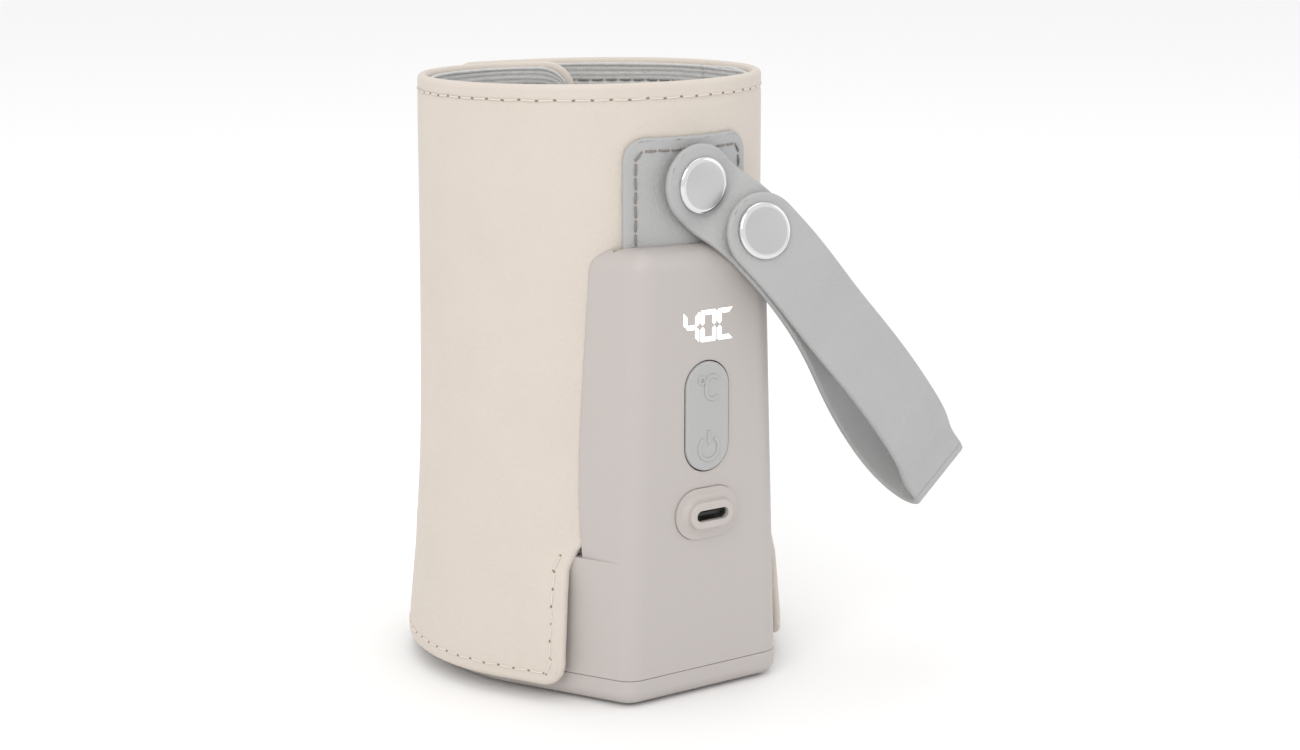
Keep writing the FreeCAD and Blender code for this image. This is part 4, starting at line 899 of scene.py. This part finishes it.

# %% [markdown]
# The strap's middle line is a smooth curve through a few points, given as the distance along the
# strap from its lower snap and the depth.  The two halves are separate sheets that meet on the
# inner side of the fold; only the inner half is attached to the strap's body.

# %% Strap
ANGLE = math.radians(49.5)
ALONG = np.array([math.cos(ANGLE), 0, -math.sin(ANGLE)])
ACROSS = np.array([-math.sin(ANGLE), 0, -math.cos(ANGLE)])
UPPER = np.array([0.0, 0.0, 115.0])
LOWER = UPPER + np.array([math.cos(math.radians(41.5)), 0, -math.sin(math.radians(41.5))]) * 16.6
STRAP = 1.7
WIDTH = 18.0
TILT = math.radians(14.5)
PLAN_TURN = math.radians(8.0)    # how far the strap turns between its two fasteners
flat_y = joints["strap_swing"]["pos_m"][1] / MM - STRAP / 2
under_y = -45.8 - STRAP / 2 / math.cos(TILT)
over_y = under_y - (STRAP + 1.1) / math.cos(TILT)
slope = math.tan(TILT)
upper_reach = float((UPPER - LOWER) @ ALONG)
back_strand = [(upper_reach - 10, flat_y), (upper_reach, flat_y), (upper_reach + 6.4, flat_y),
               (-6.6, under_y + 6.6 * slope), (0, under_y), (7, under_y - 7 * slope), (14, under_y - 2.6),
               (22, under_y - 2.3), (32, under_y - 0.3), (42, under_y + 3.0), (53, under_y + 6.4),
               (64, under_y + 8.4), (73, under_y + 8.5)]
fold = [(79.2, under_y + 6.4), (82.6, under_y + 1.7), (81.4, under_y - 2.6)]
front_strand = [(77.0, over_y - 0.3), (69, over_y - 2.9), (59, over_y - 4.9), (46, over_y - 5.4),
                (35, over_y - 4.5), (26, over_y - 3.4), (17, over_y - 2.9), (7, over_y - 7 * slope),
                (0, over_y), (-11, over_y + 11 * slope)]
knots = np.array(back_strand + fold + front_strand, float)
chord = np.concatenate([[0], np.cumsum(np.linalg.norm(np.diff(knots, axis=0), axis=1))])


def spline(x, y, at):
    """Natural cubic spline through x, y, evaluated at new places."""
    n = len(x)
    h = np.diff(x)
    system = np.eye(n)
    right = np.zeros(n)
    for i in range(1, n - 1):
        system[i, i - 1:i + 2] = h[i - 1], 2 * (h[i - 1] + h[i]), h[i]
        right[i] = 6 * ((y[i + 1] - y[i]) / h[i] - (y[i] - y[i - 1]) / h[i - 1])
    bend = np.linalg.solve(system, right)
    i = np.clip(np.searchsorted(x, at) - 1, 0, n - 2)
    a, b = x[i + 1] - at, at - x[i]
    return (bend[i] * a ** 3 + bend[i + 1] * b ** 3) / (6 * h[i]) + (y[i] / h[i] - bend[i] * h[i] / 6) * a \
        + (y[i + 1] / h[i] - bend[i + 1] * h[i] / 6) * b


def strap_line(at):
    """Reach and depth of the middle line at places along the chord."""
    return np.stack([spline(chord, knots[:, 0], at), spline(chord, knots[:, 1], at)], -1)


fine = np.linspace(0, chord[-1], 1200)
line = strap_line(fine)
length = np.concatenate([[0], np.cumsum(np.linalg.norm(np.diff(line, axis=0), axis=1))])
START = float(np.interp(upper_reach - WIDTH / 2, line[:200, 0], length[:200]))
STRAP_LENGTH = float(length[-1]) - 2.05
hinge_chord = chord[len(back_strand) + len(fold)]
hinge_length = float(np.interp(hinge_chord, fine, length))


def strap_points(places, from_start, from_end, face):
    """Grid on one face of the strap: rows across, columns along; the named ends are round."""
    at = np.interp(places, length, fine)
    middle = strap_line(at)
    ahead = strap_line(np.minimum(at + 0.05, chord[-1]))
    back = strap_line(np.maximum(at - 0.05, 0))
    tangent = ahead - back
    tangent /= np.linalg.norm(tangent, axis=1, keepdims=True)
    normal = np.stack([tangent[:, 1], -tangent[:, 0]], -1)
    half = np.full(len(places), WIDTH / 2)
    for near in (places - START if from_start else None, STRAP_LENGTH - places if from_end else None):
        if near is not None:
            r = WIDTH / 2
            half = np.minimum(half, np.sqrt(np.maximum(r * r - np.maximum(r - near, 0) ** 2, 0.02)))
    surface = middle + normal * face * STRAP / 2
    shares = np.linspace(-1, 1, 25)
    shares = np.sign(shares) * np.abs(shares) ** 0.85
    offset = shares[:, None] * half[None, :]
    turned = np.clip((4.0 - middle[:, 0]) / 8.0, 0, 1) * (at < chord[len(back_strand) - 1])
    bend_angle = PLAN_TURN * turned
    plan_across = (np.cos(bend_angle)[:, None] * ACROSS + np.sin(bend_angle)[:, None] * ALONG)
    drift = np.where(at < chord[len(back_strand) - 1], np.minimum(middle[:, 0], 0) * math.tan(PLAN_TURN), 0)
    centre = LOWER + surface[:, 0:1] * ALONG - drift[:, None] * ACROSS
    centre[:, 1] = surface[:, 1]
    grid = centre[None] + offset[..., None] * plan_across[None]
    return grid * MM


def band(name, places, from_start, from_end, seam):
    grid = strap_points(places, from_start, from_end, 1)
    return sheet_mesh(name, grid, STRAP * MM, grey_leather, seam_columns=seam, rounding=0.35, flip=True)


round_end = WIDTH / 2 * (1 - np.cos(np.linspace(0.12, math.pi / 2, 14)))
split = hinge_length - 2.6
loop_places = np.concatenate([START + round_end,
                              steps(START + WIDTH / 2 + 0.9, split, 1.0, [(split, 0.5, 0.25)])])
tail_places = np.concatenate([steps(split, STRAP_LENGTH - WIDTH / 2 - 0.9, 1.0, [(split, 6.0, 0.4)]),
                              (STRAP_LENGTH - round_end)[::-1]])
loop = band("strap_inner_half", loop_places, True, False, {len(loop_places) - 1})
tail = band("strap_free_half", tail_places, False, True, {0})
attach(loop, "strap")
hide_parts("strap_loop")
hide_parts("strap_tail")
local = strap_line(np.interp([hinge_length - 0.5, hinge_length + 0.5], length, fine))
step = local[1] - local[0]
step /= np.linalg.norm(step)
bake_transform(tail)

# %% [markdown]
# The caps are turned discs with a broad polished chamfer and a brushed flat face.

# %% Snap caps
def cap(name, node, centre, normal, low, body):
    """A lathe-turned cap: its edge is polished and its face is brushed."""
    normal = Vector(normal).normalized()
    side = normal.orthogonal().normalized()
    other = normal.cross(side)
    profile = [(6.25, 0.0), (6.25, 0.62), (6.18, 0.80), (5.95, 1.00), (5.62, 1.13), (5.35, 1.17),
               (5.25, 1.16), (5.15, 1.18), (0.001, 1.22)]
    count = 96
    points, faces, slots = [], [], []
    for radius, height in profile:
        for k in range(count):
            turn = 2 * math.pi * k / count
            around = (side * math.cos(turn) + other * math.sin(turn)) * radius
            points.append((Vector(centre) + normal * (low + height) + around) * MM)
    for ring in range(len(profile) - 1):
        for k in range(count):
            a, b = ring * count + k, ring * count + (k + 1) % count
            faces.append((a, b, b + count, a + count))
            slots.append(1 if ring >= len(profile) - 2 else 0)
    faces.append(tuple(range(count))[::-1])
    slots.append(0)
    made = new_object(name, points, faces, [polished_nickel, brushed_nickel])
    made.data.polygons.foreach_set("material_index", slots)
    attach(made, body)
    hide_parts(node)
    return made


upper_normal = np.array([0, -1.0, 0])
lower_normal = ALONG * -math.sin(TILT) + np.array([0, -math.cos(TILT), 0])
upper_back = UPPER + np.array([0, flat_y + STRAP / 2, 0])
lower_back = LOWER + np.array([0, -45.8, 0])
cap("snap_cap_upper_turned", "snap_cap_upper", upper_back, upper_normal, STRAP, "strap")
cap("snap_cap_lower_turned", "snap_cap_lower", lower_back, lower_normal, 2 * STRAP + 1.1, "strap_tail")
print("snap caps made")

# %% [markdown]
# ## Sheets of the real thing
# Each soft piece was cut flat before it was sewn.  The cut's width is its height on the wrap and
# its length is the run round it; its flat area is half of all its faces, since both sides count.


# %% Sheets of the real thing
def cut_flat(piece, width, length):
    """Prints the size of a sheet's cut, in millimetres, and its flat area."""
    area = sum(face.area for face in piece.data.polygons) / 2
    area = min(area, width * length * MM * MM)
    print(piece.name, width, "x", length, "mm, area", round(area * 1e6), "mm2")


cut_flat(wrap_front, 133.5, 212.0)
cut_flat(front_lining, 105.0, 150.0)
cut_flat(closing_leather, 102.0, 70.0)
cut_flat(closing_lining, 101.0, 68.0)
cut_flat(inner_leather, 102.0, 66.0)
cut_flat(inner_lining, 101.0, 62.0)
cut_flat(patch, 26.5, 34.5)
cut_flat(loop, 18.0, 116.0)
cut_flat(tail, 18.0, 87.0)

# %% Stage and light
# A pale table, a wide soft light from the left and above, and a weaker one from the right.
floor_material = plain("pale_matt_table", "#f4f4f4", 0.7)
size = 6.0
floor = new_object("floor", [(-size, -size, 0), (size, -size, 0), (size, size, 0), (-size, size, 0)],
                   [(0, 1, 2, 3)], floor_material, smooth=False)


def soft_light(name, place_at, aim, width, height, power, colour="#ffffff"):
    data = bpy.data.lights.new(name, "AREA")
    data.shape = "RECTANGLE"
    data.size, data.size_y = width, height
    data.energy = power
    data.color = linear(colour)[:3]
    lamp = bpy.data.objects.new(name, data)
    bpy.context.scene.collection.objects.link(lamp)
    lamp.location = place_at
    lamp.rotation_mode = "QUATERNION"
    lamp.rotation_quaternion = (Vector(aim) - Vector(place_at)).to_track_quat("-Z", "Y")
    return lamp


middle = (0, 0, 0.07)
soft_light("key_light", (-0.95, -0.75, 0.95), middle, 0.8, 0.9, 6.0, "#fffaf4")
soft_light("top_light", (0.1, 0.2, 1.25), middle, 0.9, 0.9, 2.0)
soft_light("right_light", (1.0, -0.7, 0.5), middle, 0.7, 0.9, 1.0, "#f6f9ff")

world = bpy.data.worlds.new("studio")
bpy.context.scene.world = world
world.use_nodes = True
world.node_tree.nodes["Background"].inputs["Color"].default_value = linear("#ffffff")
world.node_tree.nodes["Background"].inputs["Strength"].default_value = 1.0
bpy.context.scene.view_settings.view_transform = "Standard"
